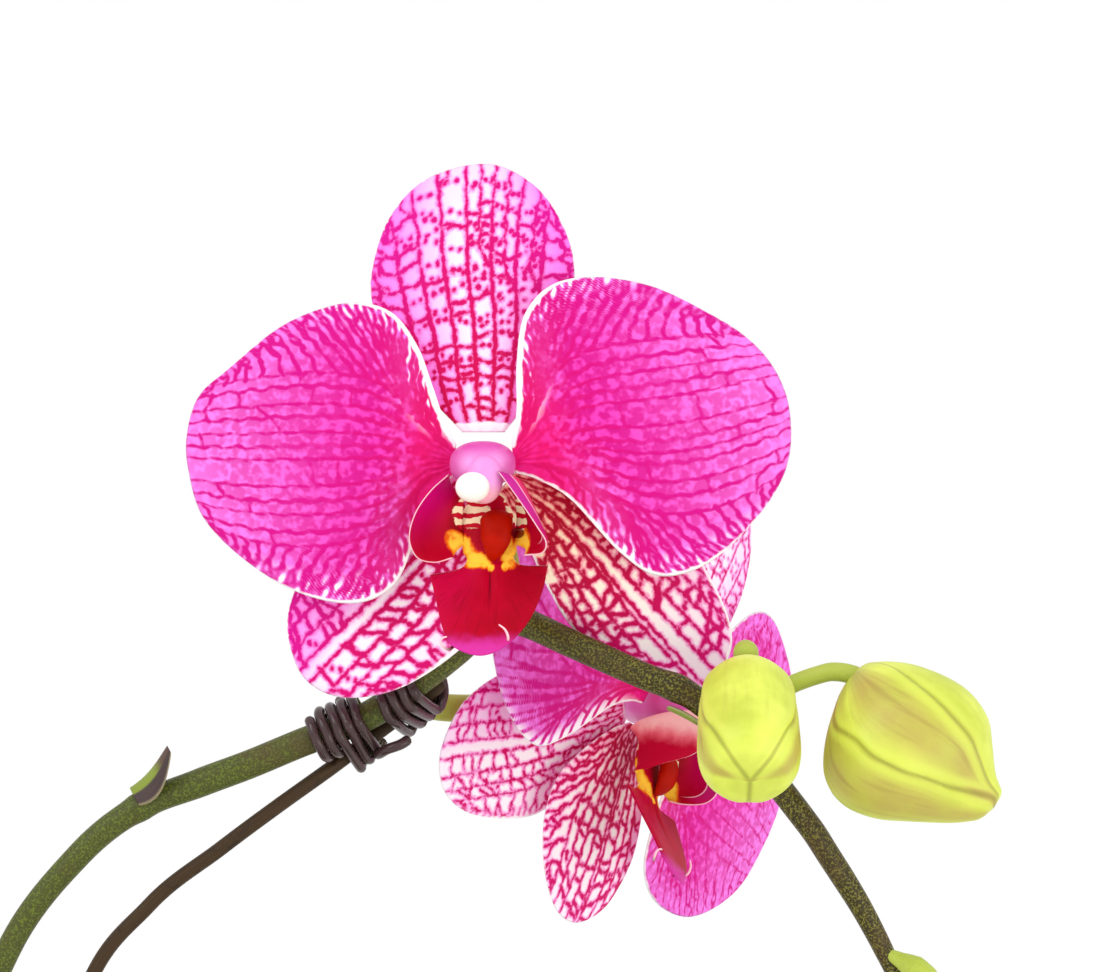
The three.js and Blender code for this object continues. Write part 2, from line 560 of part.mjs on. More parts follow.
function makeTepal(name, shape, form, parent, material) {
  const outline = curve(shape.map(([x, y]) => [x, y, 0]));
  const middle = (x, y) => {
    const p = patch(outline, x, y);
    p.z = tepalHeight(form, p.x, p.y);
    return p;
  };
  const half = () => new THREE.Vector3(0, 0, TEPAL_THICKNESS / 2);
  addMesh(name, blade(middle, half, 9, 9), material, parent);
}

// A blade between two edges that swells sideways between them.
function lobe(inner, outer, swell, columns, rows) {
  const [from, to] = [curve(inner), curve(outer)];
  const middle = (x, y) => from.getPointAt(y).lerp(to.getPointAt(y), x)
    .addScaledVector(vector(swell), Math.sin(Math.PI * x) * (1 - 0.6 * y));
  const half = (x, y) => {
    const acrossEdge = to.getPointAt(y).sub(from.getPointAt(y));
    const alongEdge = to.getTangentAt(y).lerp(from.getTangentAt(y), 0.5);
    return acrossEdge.cross(alongEdge).normalize().multiplyScalar(LIP_THICKNESS / 2);
  };
  return blade(middle, half, columns, rows);
}

// Lip: two side lobes that stand up beside the column, a crest between them and a middle lobe like
// the blade of a trowel, all grown from one claw.
const lipOne = {
  leftInner: [[-3.2, -6.4, 4.6], [-3.4, -10, 3.6], [-3.2, -13.6, 4]],
  leftSwell: [-0.6, 0, -1.6],
  leftOuter: [
    [-5.6, -2, 6], [-8.6, -4.8, 8.5], [-11, -8.4, 9.8], [-12, -12.4, 10], [-10.8, -15.6, 9.2],
    [-8, -16.5, 7.6], [-5, -15.8, 5.6],
  ],
  rightInner: [[5.2, -6.4, 4.6], [5.4, -10, 3.6], [4.8, -13.6, 4]],
  rightSwell: [2.6, 0.6, -0.6],
  rightOuter: [
    [2.4, -1.5, 11.6], [4.4, -4.2, 12.6], [6.8, -7.6, 12.4], [8.8, -10.6, 11.6], [10.3, -13.2, 10],
    [9.6, -15, 8], [6.6, -15.4, 5.8],
  ],
  claw: [[0.2, -5, 1.4], [0.5, -8, 2], [0.9, -12, 3], [1.1, -15.5, 4.6], [1.1, -18, 5.8]],
  crest: [[2, -8.2, 4.6], [2.2, -10.5, 6.4], [2, -13.4, 6.8], [1.4, -16.4, 6.2]],
  midLeft: [[-2.4, -15, 4.4], [-3.6, -17.4, 4.8], [-8.7, -18.5, 6]],
  midFar: [
    [-8.7, -18.5, 6], [-7.6, -22.5, 9], [-6.4, -26.9, 12.6], [-4.6, -29.8, 14.8], [-0.2, -31.2, 15.8],
    [4, -29.6, 14.8], [7.6, -25.7, 12.2], [9.7, -21.1, 9], [10.6, -17, 6.4],
  ],
  midRight: [[4.6, -15, 4.4], [6, -16.8, 4.9], [10.6, -17, 6.4]],
};
const lipTwo = {
  ...lipOne,
  leftInner: [[-3.4, -7.4, 2.2], [-3.8, -11, 2.8], [-3.4, -14.8, 4.2]],
  leftOuter: [
    [-5.2, -5.4, 4], [-7, -4.2, 6.6], [-8.2, -3.3, 10], [-8.6, -2.9, 14.2], [-8.4, -5.2, 17.4],
    [-8, -8.4, 17.6], [-7.2, -10.6, 15.4], [-6.4, -12.4, 11], [-5.4, -14.2, 6.6],
  ],
  leftSwell: [-1.6, -0.8, -2.4],
  rightOuter: [
    [4.6, -3, 10.4], [7.2, -4.6, 11.4], [9, -7.5, 12.4], [9.2, -10.6, 13.4], [8.8, -13.2, 12.2],
    [7.8, -14.6, 9], [6.8, -15, 6],
  ],
};

function midLobe({ midLeft, midFar, midRight }) {
  const [left, far, right] = [midLeft, midFar, midRight].map(curve);
  const ends = [left.getPoint(0), right.getPoint(0), left.getPoint(1), right.getPoint(1)];
  const middle = (x, y) => {
    const neck = ends[0].clone().lerp(ends[1], x);
    const corners = neck.clone().lerp(ends[2].clone().lerp(ends[3], x), y);
    const p = left.getPointAt(y).lerp(right.getPointAt(y), x)
      .add(neck.lerp(far.getPointAt(x), y)).sub(corners);
    p.z += 2.4 * Math.sin(Math.PI * x) * Math.sin((Math.PI * y) / 1.6);
    return p;
  };
  return blade(middle, () => new THREE.Vector3(0, 0, LIP_THICKNESS / 2), 8, 6);
}

function makeLip(name, shape, parent) {
  const claw = body(shape.claw, (t, a) => {
    const share = between([0.5, 0.9, 1, 0.95, 0.5], t);
    return [1.3 * share * Math.cos(a), 4.6 * share * Math.sin(a)];
  }, 6, 10, RIGHT);
  const crest = body(shape.crest, (t, a) => {
    const share = between([0.4, 1, 0.9, 0.4], t);
    return [1.5 * share * Math.cos(a), 2.4 * share * Math.sin(a)];
  }, 5, 8, RIGHT);
  const sides = [
    lobe(shape.leftInner, shape.leftOuter, shape.leftSwell, 4, 6),
    lobe(shape.rightInner, shape.rightOuter, shape.rightSwell, 4, 6),
  ];
  addMesh(name, joined([claw, crest, midLobe(shape), ...sides]), lipRed, parent);
}

// Column: the stubby pillar in the middle of the flower, with a white cap over its end.
const columnPath = [[0, 0, -4.6], [0, 0, 0], [-0.1, 0.2, 4], [-0.4, -0.6, 7.4], [-0.7, -2, 9.6]];
const columnWidths = [0.85, 0.93, 0.95, 1.12, 1.06, 0.6];
const columnHeights = [0.85, 0.93, 0.95, 0.9, 0.85, 0.5];
const COLUMN_RADIUS = 4.35;

function makeColumn(name, capName, parent) {
  addMesh(name, body(columnPath, (t, a) => [
    COLUMN_RADIUS * between(columnHeights, t) * Math.cos(a),
    COLUMN_RADIUS * between(columnWidths, t) * Math.sin(a),
  ], 9, 12, RIGHT), columnPink, parent);
  const cap = new THREE.SphereGeometry(1, 12, 8).scale(3.3, 2.7, 1.7).rotateX(degrees(24))
    .translate(-1, -3.8, 11.2);
  addMesh(capName, fromManifold(toManifold(cap)), capWhite, parent);
}

function makeFlower(name, centre, { yaw, pitch, roll }, shapes, forms, lipShape) {
  const face = new THREE.Group();
  face.rotation.set(degrees(pitch), degrees(yaw), degrees(roll), 'YXZ');
  const flower = new THREE.Group();
  flower.rotation.x = Math.PI / 2;
  flower.position.set(...centre);
  flower.add(face);
  plant.add(flower);
  for (const [part, form] of Object.entries(forms)) {
    const material = part.startsWith('petal') ? petalPink : sepalPink;
    makeTepal(`${name}_${part}`, shapes[part], form, face, material);
  }
  makeLip(`${name}_lip`, lipShape, face);
  makeColumn(`${name}_column`, `${name}_anther_cap`, face);
}

// Buds: closed sepals with seams between them. The profile gives, for even steps along the axis, how
// far the bud reaches to one side of the axis and to the other.
const buds = [
  { name: 'bud_1', from: [139.3, -32.1, 373.2], to: [139, -49.1, 355.4],
    above: [2, 5, 7, 7.9, 8.3, 8.5, 8.6, 8.7, 8.6, 7.9, 5.8],
    below: [2, 5, 7, 7.9, 8.3, 8.5, 8.6, 8.7, 8.6, 7.9, 5.8], depth: 0.95, side: RIGHT },
  { name: 'bud_2', from: [156.8, -30, 371.6], to: [180.4, -36, 351.8],
    above: [2, 5, 7.1, 8.4, 9.3, 9.7, 9.3, 8, 5.1, 2.1, 0.3],
    below: [3, 10.4, 15, 17, 17.5, 16.8, 15.3, 13, 10.6, 8, 4.6], depth: 0.85, side: BACK },
];

function makeBud({ name, from, to, above, below, depth, side }) {
  const half = (t) => (between(above, t) + between(below, t)) / 2;
  const shift = (t) => (between(above, t) - between(below, t)) / 2;
  const ring = (t, a) => [half(t) * Math.cos(a) + shift(t), half(t) * depth * Math.sin(a)];
  const middle = from.map((value, k) => (value + to[k]) / 2);
  addMesh(name, body([from, middle, to], ring, 12, 14, side), budGreen);
}

makePot();
makeBark();
addMesh('crown_stem', crownBody(0), leafGreen);
leaves.forEach((leaf, k) => makeLeaf(`leaf_${k + 1}`, leaf));
roots.forEach((root, k) => addMesh(`root_${k + 1}`, rootBody(root, 0), rootSilver));
makeSpike();
scales.forEach(makeScale);
addMesh('stake', rod(stakePath, STAKE_RADIUS, 28, 8), stakeBrown);
ties.forEach(makeTie);
makeFlower('flower_1', FLOWER_1_CENTRE, { yaw: 0, pitch: 0, roll: 0 }, outlines, formsOne, lipOne);
const shapesTwo = Object.fromEntries(Object.entries(outlinesTwo)
  .map(([part, outline]) => [part, reshaped(outline, formsTwo[part].angle)]));
makeFlower('flower_2', FLOWER_2_CENTRE, { yaw: 57.1, pitch: 7.9, roll: -29.5 }, shapesTwo, formsTwo, lipTwo);
buds.forEach(makeBud);

export default plant;
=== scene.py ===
import json
import math

import bmesh
import bpy
import numpy as np
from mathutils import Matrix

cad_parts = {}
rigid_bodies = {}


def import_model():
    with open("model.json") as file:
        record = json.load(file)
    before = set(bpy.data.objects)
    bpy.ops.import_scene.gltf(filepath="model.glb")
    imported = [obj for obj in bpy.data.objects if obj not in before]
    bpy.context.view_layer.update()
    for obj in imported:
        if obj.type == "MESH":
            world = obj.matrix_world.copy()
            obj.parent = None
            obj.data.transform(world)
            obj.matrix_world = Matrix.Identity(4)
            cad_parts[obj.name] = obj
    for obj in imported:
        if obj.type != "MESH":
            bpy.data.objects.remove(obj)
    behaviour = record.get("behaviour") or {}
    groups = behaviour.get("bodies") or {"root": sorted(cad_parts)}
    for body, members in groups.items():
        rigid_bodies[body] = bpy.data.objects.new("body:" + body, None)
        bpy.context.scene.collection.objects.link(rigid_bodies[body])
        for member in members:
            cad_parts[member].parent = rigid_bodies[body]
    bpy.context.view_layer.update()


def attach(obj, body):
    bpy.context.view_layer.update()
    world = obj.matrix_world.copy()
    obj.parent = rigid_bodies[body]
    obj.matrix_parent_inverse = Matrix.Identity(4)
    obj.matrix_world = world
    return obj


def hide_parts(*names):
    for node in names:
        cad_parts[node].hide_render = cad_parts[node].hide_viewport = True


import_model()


# The view: a long lens level with the open flowers, straight in front of the first one.
FOCAL_LENGTH = 120
CAMERA_PLACE = (0.108, -0.63085, 0.402)
lens = bpy.data.cameras.new("front_lens")
lens.lens = FOCAL_LENGTH
lens.sensor_width = 36
lens.clip_start = 0.05
lens.clip_end = 20
camera = bpy.data.objects.new("front_lens", lens)
camera.location = CAMERA_PLACE
camera.rotation_euler = (math.pi / 2, 0, 0)
bpy.context.scene.collection.objects.link(camera)
bpy.context.scene.camera = camera
bpy.context.scene.view_settings.view_transform = "Standard"


# The studio: a white room all round, a broad lamp from the upper left, one from the lower right and a
# pale round floor.
room = bpy.data.worlds.new("white_room")
room.use_nodes = True
room.node_tree.nodes["Background"].inputs["Color"].default_value = (1, 1, 1, 1)
room.node_tree.nodes["Background"].inputs["Strength"].default_value = 1.0
bpy.context.scene.world = room


def add_lamp(name, place, aim, size, power):
    """A square soft lamp at a place, turned towards the point that it lights."""
    lamp = bpy.data.lights.new(name, "AREA")
    lamp.size = size
    lamp.energy = power
    holder = bpy.data.objects.new(name, lamp)
    holder.location = place
    away = np.subtract(place, aim)
    holder.rotation_euler = (math.atan2(math.hypot(away[0], away[1]), away[2]), 0,
                             math.atan2(away[1], away[0]) + math.pi / 2)
    bpy.context.scene.collection.objects.link(holder)


add_lamp("key_lamp", (-0.7, -0.9, 1.3), (0.1, 0, 0.4), 0.9, 7)
add_lamp("low_lamp", (0.9, -0.8, 0.1), (0.12, 0, 0.38), 0.9, 5)


def tone(red, green, blue):
    """A colour given in screen values from 0 to 255, as the linear colour that a finish needs."""
    share = np.array([red, green, blue]) / 255
    line = np.where(share <= 0.04045, share / 12.92, ((share + 0.055) / 1.055) ** 2.4)
    return (*line.tolist(), 1)


class Finish:
    """A finish made of nodes. Each call adds one node and gives back what comes out of it."""

    def __init__(self, name, **sockets):
        self.made = bpy.data.materials.new(name)
        self.made.use_nodes = True
        self.tree = self.made.node_tree
        self.shader = self.tree.nodes["Principled BSDF"]
        self.colour = None
        for socket, value in sockets.items():
            self.shader.inputs[socket.replace("_", " ")].default_value = value
        self.place = self.add("TexCoord").outputs["Object"]

    def add(self, kind, inputs=None, **settings):
        """A node of a kind, with what goes into it and its settings."""
        node = self.tree.nodes.new("ShaderNode" + kind)
        for name, value in settings.items():
            setattr(node, name, value)
        for name, value in (inputs or {}).items():
            self.fill(node.inputs[name], value)
        return node

    def fill(self, socket, value):
        """Links what comes out of another node, or sets a plain value."""
        if isinstance(value, bpy.types.NodeSocket):
            self.tree.links.new(value, socket)
        else:
            socket.default_value = value

    def field(self, name):
        """A value that the mesh holds at each of its points."""
        return self.add("Attribute", attribute_name=name).outputs["Fac"]

    def noise(self, scale, detail=2, place=None, stretch=(1, 1, 1)):
        """Soft noise from 0 to 1, with its scale in spots per metre, drawn out along an axis by stretch."""
        spot = self.add("Mapping", {"Vector": place or self.place, "Scale": stretch}).outputs[0]
        return self.add("TexNoise", {"Vector": spot, "Scale": scale, "Detail": detail}).outputs["Fac"]

    def sum(self, first, second, how="ADD"):
        """Two values added, or worked out in another way."""
        node = self.add("Math", operation=how)
        self.fill(node.inputs[0], first)
        self.fill(node.inputs[1], second)
        return node.outputs[0]

    def less(self, first, second):
        """The first value less the second."""
        return self.sum(first, second, "SUBTRACT")

    def times(self, first, second):
        """Two values multiplied."""
        return self.sum(first, second, "MULTIPLY")

    def most(self, first, second):
        """The greater of two values."""
        return self.sum(first, second, "MAXIMUM")

    def size(self, value):
        """A value without its sign."""
        return self.sum(value, 0, "ABSOLUTE")

    def wobble(self, scale, detail, size):
        """Noise that strays to both sides of 0, by half of size."""
        return self.times(self.less(self.noise(scale, detail), 0.5), size)

    def own_place(self, across, along, wide=1.0, long=1.0):
        """A place on the piece's own surface, from two values that run over it and their scales."""
        inputs = {"X": self.times(across, wide), "Y": self.times(along, long)}
        return self.add("CombineXYZ", inputs).outputs["Vector"]

    def step(self, value, start, end, low=0.0, high=1.0):
        """A smooth step: low up to start, high from end on."""
        inputs = {"Value": value, "From Min": start, "From Max": end, "To Min": low, "To Max": high}
        return self.add("MapRange", inputs, interpolation_type="SMOOTHSTEP").outputs["Result"]

    def mix(self, share, first, second):
        """The first colour where share is 0 and the second where it is 1. Sockets 6 and 7 of this node
        take its two colours, and the mixed colour comes out of socket 2."""
        node = self.add("Mix", data_type="RGBA")
        for socket, value in ((0, share), (6, first), (7, second)):
            self.fill(node.inputs[socket], value)
        return node.outputs[2]

    def coat(self, share, colour):
        """Lays one more colour over the finish, as far as share."""
        self.colour = self.mix(share, self.colour, colour)

    def wear(self, roughness=None, height=None, depth=0.0003, strength=0.6):
        """Puts the colour, the roughness and the relief on the surface."""
        self.fill(self.shader.inputs["Base Color"], self.colour)
        if roughness is not None:
            self.fill(self.shader.inputs["Roughness"], roughness)
        if height is not None:
            bump = self.add("Bump", {"Height": height, "Distance": depth, "Strength": strength})
            self.fill(self.shader.inputs["Normal"], bump.outputs["Normal"])


floor_finish = Finish("pale_floor", Roughness=0.8)
floor_finish.colour = floor_finish.mix(floor_finish.noise(30, 3), tone(238, 236, 232), tone(246, 245, 242))
floor_finish.wear()


# Pot: thick-walled turned clay, 130 mm across its rim, fired and left bare, with a plain band for a
# rim and three drain holes in its floor. The rings are turned, and lime has bloomed through the clay.
POT_SIDES = 96
POT_HEIGHT = 115
POT_RIM_RADIUS = 65
POT_FLOOR = 6
POT_FLOOR_RADIUS = 37.5
DRAIN_RADIUS = 6
DRAIN_CIRCLE = 25
pot_inside = [(POT_FLOOR_RADIUS, POT_FLOOR), (39, POT_FLOOR), (41, 8), (59, 113.5), (60, POT_HEIGHT)]
pot_outside = [(63.5, POT_HEIGHT), (POT_RIM_RADIUS, 113), (64, 94), (61.2, 93), (46, 1.5), (44.5, 0),
               (POT_FLOOR_RADIUS, 0)]


def run_length(line):
    """How far along a line of points each of them lies."""
    return np.r_[0, np.cumsum(np.linalg.norm(np.diff(line, axis=0), axis=1))]


def circle(sides):
    """Evenly spaced angles once round."""
    return np.linspace(0, 2 * np.pi, sides, endpoint=False)


def cos_sin(degrees):
    """The cosine and the sine of an angle in degrees."""
    return math.cos(math.radians(degrees)), math.sin(math.radians(degrees))


def upright_turn(degrees):
    """The turn about the upright axis, to be applied to rows of points."""
    c, s = cos_sin(degrees)
    return np.array([[c, s, 0], [-s, c, 0], [0, 0, 1]])


def rounded(corners, radius=1.0, steps=5, spacing=4.0):
    """The outline through the corners, each rounded by an arc that starts a radius away from it. Long
    straight runs get points at the given spacing."""
    corners = np.asarray(corners, float)
    turn, before, after = corners[1:-1], corners[:-2] - corners[1:-1], corners[2:] - corners[1:-1]
    t = np.linspace(0, 1, steps)[None, :, None]
    ends = []
    for side in (before, after):
        size = np.linalg.norm(side, axis=1, keepdims=True)
        ends.append((turn + side * np.minimum(radius / size, 0.45))[:, None])
    arcs = (1 - t) ** 2 * ends[0] + 2 * t * (1 - t) * turn[:, None] + t ** 2 * ends[1]
    line = np.vstack([corners[:1], arcs.reshape(-1, corners.shape[1]), corners[-1:]])
    length = run_length(line)
    cuts = [np.linspace(a, b, max(2, int((b - a) / spacing) + 1)) for a, b in zip(length[:-1], length[1:])]
    places = np.unique(np.concatenate(cuts))
    return np.stack([np.interp(places, length, line[:, k]) for k in range(line.shape[1])], axis=1)


def grid_faces(rows, columns, loop_rows=False, loop_columns=False):
    """The squares of a grid of points numbered row by row, closed into a ring along either way."""
    index = np.arange(rows * columns).reshape(rows, columns)
    if loop_rows:
        index = np.vstack([index, index[:1]])
    if loop_columns:
        index = np.hstack([index, index[:, :1]])
    return np.stack([index[:-1, :-1], index[:-1, 1:], index[1:, 1:], index[1:, :-1]], -1).reshape(-1, 4)


def outwards(shell):
    """The faces of a closed shell, turned over if its volume comes out negative."""
    points, volume = shell["points"], 0.0
    for faces in shell["faces"]:
        for k in range(1, faces.shape[1] - 1):
            a, b, c = (points[faces[:, i]] for i in (0, k, k + 1))
            volume += np.einsum("ij,ij->", a, np.cross(b, c))
    return shell["faces"] if volume >= 0 else [faces[:, ::-1] for faces in shell["faces"]]


def make_piece(name, shells, finish, node, weld=False):
    """Puts shells given in millimetres into one smooth piece that stands for a CAD node. Each shell has
    points, faces and the fields that its finish reads; a piece in open parts is welded at its seams."""
    mesh = bpy.data.meshes.new(name)
    starts = np.cumsum([0] + [len(shell["points"]) for shell in shells])
    points = np.vstack([shell["points"] for shell in shells]) / 1000
    mesh.vertices.add(len(points))
    mesh.vertices.foreach_set("co", points.astype(np.float32).ravel())
    groups = [faces + start for shell, start in zip(shells, starts) for faces in outwards(shell)]
    corners = np.concatenate([faces.ravel() for faces in groups])
    sizes = np.concatenate([np.full(len(faces), faces.shape[1]) for faces in groups])
    mesh.loops.add(len(corners))
    mesh.loops.foreach_set("vertex_index", corners.astype(np.int32))
    mesh.polygons.add(len(sizes))
    mesh.polygons.foreach_set("loop_start", np.r_[0, np.cumsum(sizes)[:-1]].astype(np.int32))
    mesh.polygons.foreach_set("use_smooth", np.ones(len(sizes), bool))
    for field in shells[0].get("fields", {}):
        values = np.concatenate([shell["fields"][field] for shell in shells])
        mesh.attributes.new(field, "FLOAT", "POINT").data.foreach_set("value", values.astype(np.float32))
    mesh.update(calc_edges=True)
    mesh.validate()
    if weld:
        work = bmesh.new()
        work.from_mesh(mesh)
        bmesh.ops.remove_doubles(work, verts=work.verts, dist=1e-5)
        bmesh.ops.recalc_face_normals(work, faces=work.faces)
        work.to_mesh(mesh)
        work.free()
    mesh.materials.append(finish.made)
    piece = bpy.data.objects.new(name, mesh)
    bpy.context.scene.collection.objects.link(piece)
    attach(piece, "root")
    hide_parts(node)


def lathe(profile, sides):
    """A profile of radius and height turned about the upright axis, profile x sides x 3."""
    angle = circle(sides)
    radius, height = np.asarray(profile).T[..., None]
    return np.stack([radius * np.cos(angle), radius * np.sin(angle), height + 0 * angle], -1)


def pot_floor(turn):
    """One third of the floor as a sheet that runs, from its outline below, in to the drain hole, up
    through the hole and out over the top to the same outline. A row of points runs round the hole."""
    arc = np.linspace(-60, 60, POT_SIDES // 3 + 1)
    radial = np.linspace(0, 1, 9)[1:-1, None]
    rim = POT_FLOOR_RADIUS * np.stack([np.cos(np.radians(arc)), np.sin(np.radians(arc))], 1)
    outline = np.vstack([rim, rim[-1] * (1 - radial), [[0, 0]], rim[0] * radial])
    hole = np.array([DRAIN_CIRCLE, 0])
    angle = np.unwrap(np.arctan2(*(outline - hole).T[::-1]))
    edge = hole + DRAIN_RADIUS * np.stack([np.cos(angle), np.sin(angle)], 1)
    share = np.r_[np.linspace(1, 0.05, 6), 0, 0, 0, np.linspace(0.05, 1, 6)][:, None, None]
    height = np.r_[np.zeros(6), 0.4, POT_FLOOR / 2, POT_FLOOR - 0.4, np.full(6, POT_FLOOR)][:, None]
    flat = edge + (outline - edge) * share
    points = np.dstack([flat, np.broadcast_to(height, flat.shape[:2])])
    points = points @ upright_turn(turn)
    return {"points": points.reshape(-1, 3), "faces": [grid_faces(*points.shape[:2], loop_columns=True)]}


pot_profile = np.vstack([rounded(pot_inside), rounded(pot_outside)])
pot_wall = lathe(pot_profile, POT_SIDES)
wall_faces = grid_faces(len(pot_profile), POT_SIDES, loop_columns=True)
pot_shells = [{"points": pot_wall.reshape(-1, 3), "faces": [wall_faces]}]
pot_shells += [pot_floor(angle) for angle in (90, 210, 330)]

clay = Finish("bare_clay", Roughness=0.85)
clay_grain = clay.noise(900, 4)
clay_rings = clay.noise(420, 3, stretch=(0.02, 0.02, 1))
clay.colour = clay.mix(clay.noise(24, 5), tone(158, 84, 50), tone(196, 118, 78))
clay.coat(clay.step(clay_grain, 0.4, 0.75, 0, 0.5), tone(140, 70, 42))
clay.coat(clay.step(clay.noise(55, 6), 0.56, 0.72, 0, 0.45), tone(222, 196, 172))
clay.wear(height=clay.sum(clay_rings, clay.times(clay_grain, 0.5)), depth=0.0006, strength=0.5)
make_piece("clay_pot", pot_shells, clay, "pot", weld=True)


# Bark: the pot is filled with coarse chips of fir bark to 14 mm below its rim. The bed carries a loose
# layer of flat broken chips, each 7 to 17 mm long, that lie at every angle round the stem and roots.
BARK_LEVEL = 101
BARK_RADIUS = 56
CHIP_COUNT = 330
CHIP_TOP = 106.5
CHIP_SIZES = ((7, 17), (5, 10.5), (2.2, 4.6))
GOLDEN_ANGLE = 2.39996
bark_draw = np.random.default_rng(7)


def rings(points, **fields):
    """A closed body from rings of points, rings x sides x 3, with each end drawn to a middle point."""
    count, sides = points.shape[:2]
    flat = np.vstack([points.reshape(-1, 3), points[0].mean(0)[None], points[-1].mean(0)[None]])
    side = np.arange(sides)
    after = (side + 1) % sides
    last = (count - 1) * sides
    ends = np.vstack([np.stack([np.full(sides, count * sides), after, side], 1),
                      np.stack([np.full(sides, count * sides + 1), last + side, last + after], 1)])
    carried = {}
    for name, value in fields.items():
        value = np.broadcast_to(value, (count, sides))
        carried[name] = np.r_[value.ravel(), value[0].mean(), value[-1].mean()]
    return {"points": flat, "faces": [grid_faces(count, sides, loop_columns=True), ends], "fields": carried}


def bark_bed():
    """The fill under the loose chips: a turned body whose top is roughened by two crossed waves."""
    top = BARK_LEVEL - 1
    foot = POT_FLOOR + 0.3
    profile = [(0.5, foot), (38, foot), (40.6, 9.3), (BARK_RADIUS, top), (0.5, top)]
    points = lathe(rounded(profile, radius=2, spacing=3), 72)
    x, y, z = np.moveaxis(points, -1, 0)
    waves = 0.9 * np.sin(0.62 * x + 1.7 * np.sin(0.4 * y)) * np.sin(0.55 * y + np.sin(0.3 * x))
    points[..., 2] += (z > top - 0.5) * waves
    return rings(points, tint=0.1)


def bark_chips():
    """The loose chips as one set of points: a slab of 4 x 4 x 2 points for each chip, tapered to one
    end, with every point moved by chance, then tilted, turned and laid on the bed along a spiral."""
    u, v, w = np.meshgrid(np.linspace(-0.5, 0.5, 4), np.linspace(-0.5, 0.5, 4), (-0.5, 0.5), indexing="ij")
    slab = np.stack([u, v, w], -1).reshape(-1, 3)
    one = np.arange(CHIP_COUNT)
    size = np.stack([bark_draw.uniform(*limits, CHIP_COUNT) for limits in CHIP_SIZES], 1)
    taper = 1 - bark_draw.uniform(0.1, 0.5, (CHIP_COUNT, 1)) * (slab[None, :, 0] + 0.5)
    points = np.repeat(slab[None], CHIP_COUNT, 0)
    points[..., 1] *= taper
    corner = np.abs(slab[:, 0] * slab[:, 1]) * 4
    points[..., :2] *= (1 - 0.16 * corner)[None, :, None]
    points += bark_draw.normal(0, 0.055, points.shape)
    points[..., 2] += bark_draw.normal(0, 0.12, (CHIP_COUNT, 1)) * slab[None, :, 0]
    points *= size[:, None]
    turns = [bark_draw.uniform(-0.5, 0.5, CHIP_COUNT), bark_draw.uniform(-0.45, 0.45, CHIP_COUNT),
             bark_draw.uniform(0, 2 * np.pi, CHIP_COUNT)]
    for (a, b), turn in zip(((1, 2), (2, 0), (0, 1)), turns):
        c, s = np.cos(turn)[:, None], np.sin(turn)[:, None]
        first, second = points[..., a], points[..., b]
        points[..., a], points[..., b] = first * c - second * s, first * s + second * c
    reach = 11 + (BARK_RADIUS - 20) * np.sqrt((one + 0.5) / CHIP_COUNT)
    angle = one * GOLDEN_ANGLE + bark_draw.uniform(0, 0.5, CHIP_COUNT)
    height = BARK_LEVEL + bark_draw.uniform(-1, 2.4, CHIP_COUNT)
    points += np.stack([reach * np.cos(angle), reach * np.sin(angle), height], 1)[:, None]
    points[..., 2] = np.minimum(points[..., 2], CHIP_TOP)
    index = np.arange(32).reshape(4, 4, 2)
    top, bottom = index[..., 1], index[..., 0]
    edge = np.r_[index[:-1, 0, 0], index[-1, :-1, 0], index[:0:-1, -1, 0], index[0, :0:-1, 0]]
    after = np.roll(edge, -1)
    faces = np.vstack([
        np.stack([top[:-1, :-1], top[1:, :-1], top[1:, 1:], top[:-1, 1:]], -1).reshape(-1, 4),
        np.stack([bottom[:-1, :-1], bottom[:-1, 1:], bottom[1:, 1:], bottom[1:, :-1]], -1).reshape(-1, 4),
        np.stack([edge, after, after + 1, edge + 1], -1)])
    faces = (faces[None] + one[:, None, None] * 32).reshape(-1, 4)
    tint = np.repeat(bark_draw.uniform(0, 1, CHIP_COUNT), 32)
    return {"points": points.reshape(-1, 3), "faces": [faces], "fields": {"tint": tint}}


fir = Finish("fir_bark", Roughness=0.92)
fir_layers = fir.noise(260, 5, stretch=(1, 1, 3.2))
fir_fine = fir.noise(1500, 4)
fir.colour = fir.mix(fir.field("tint"), tone(74, 42, 26), tone(128, 82, 54))
fir.coat(fir.step(fir_layers, 0.42, 0.62), tone(52, 30, 20))
fir.coat(fir.step(fir_fine, 0.6, 0.8, 0, 0.6), tone(160, 118, 84))
fir.wear(height=fir.sum(fir_layers, fir_fine), depth=0.0012, strength=0.8)
make_piece("bark_chips", [bark_bed(), bark_chips()], fir, "potting_bark")


# Crown: the short upright stem that everything grows from, wrapped in the torn feet of old leaves. It
# is wider along the fan of the leaves than across it.
CROWN_FOOT = 84
CROWN_LENGTH = 65
CROWN_HALF_WIDTH = 7.5
CROWN_HALF_DEPTH = 6
FAN_TURN = 20
fan_axis = np.array([*cos_sin(FAN_TURN), 0])
crown_shares = [0.75, 0.95, 1, 1, 0.98, 0.92, 0.8, 0.45]


def evenly(values, t):
    """The value at share t of a list of evenly spaced values."""
    return np.interp(t, np.linspace(0, 1, len(values)), values)


def curve(points, shares):
    """A smooth curve through the points, read at shares of its length. Each stretch is a cubic whose
    slope at a point is half the step between that point's neighbours."""
    p = np.asarray(points, float)
    p = np.vstack([2 * p[0] - p[1], p, 2 * p[-1] - p[-2]])
    place = np.linspace(0, len(p) - 3, 80 * (len(p) - 3) + 1)
    k = np.minimum(place.astype(int), len(p) - 4)
    t = (place - k)[:, None]
    a, b, c, d = p[k], p[k + 1], p[k + 2], p[k + 3]
    start, end = (c - a) / 2, (d - b) / 2
    line = b + t * (start + t * (3 * (c - b) - 2 * start - end + t * (2 * (b - c) + start + end)))
    length = run_length(line)
    place = np.asarray(shares) * length[-1]
    return np.stack([np.interp(place, length, line[:, k]) for k in range(p.shape[1])], -1)


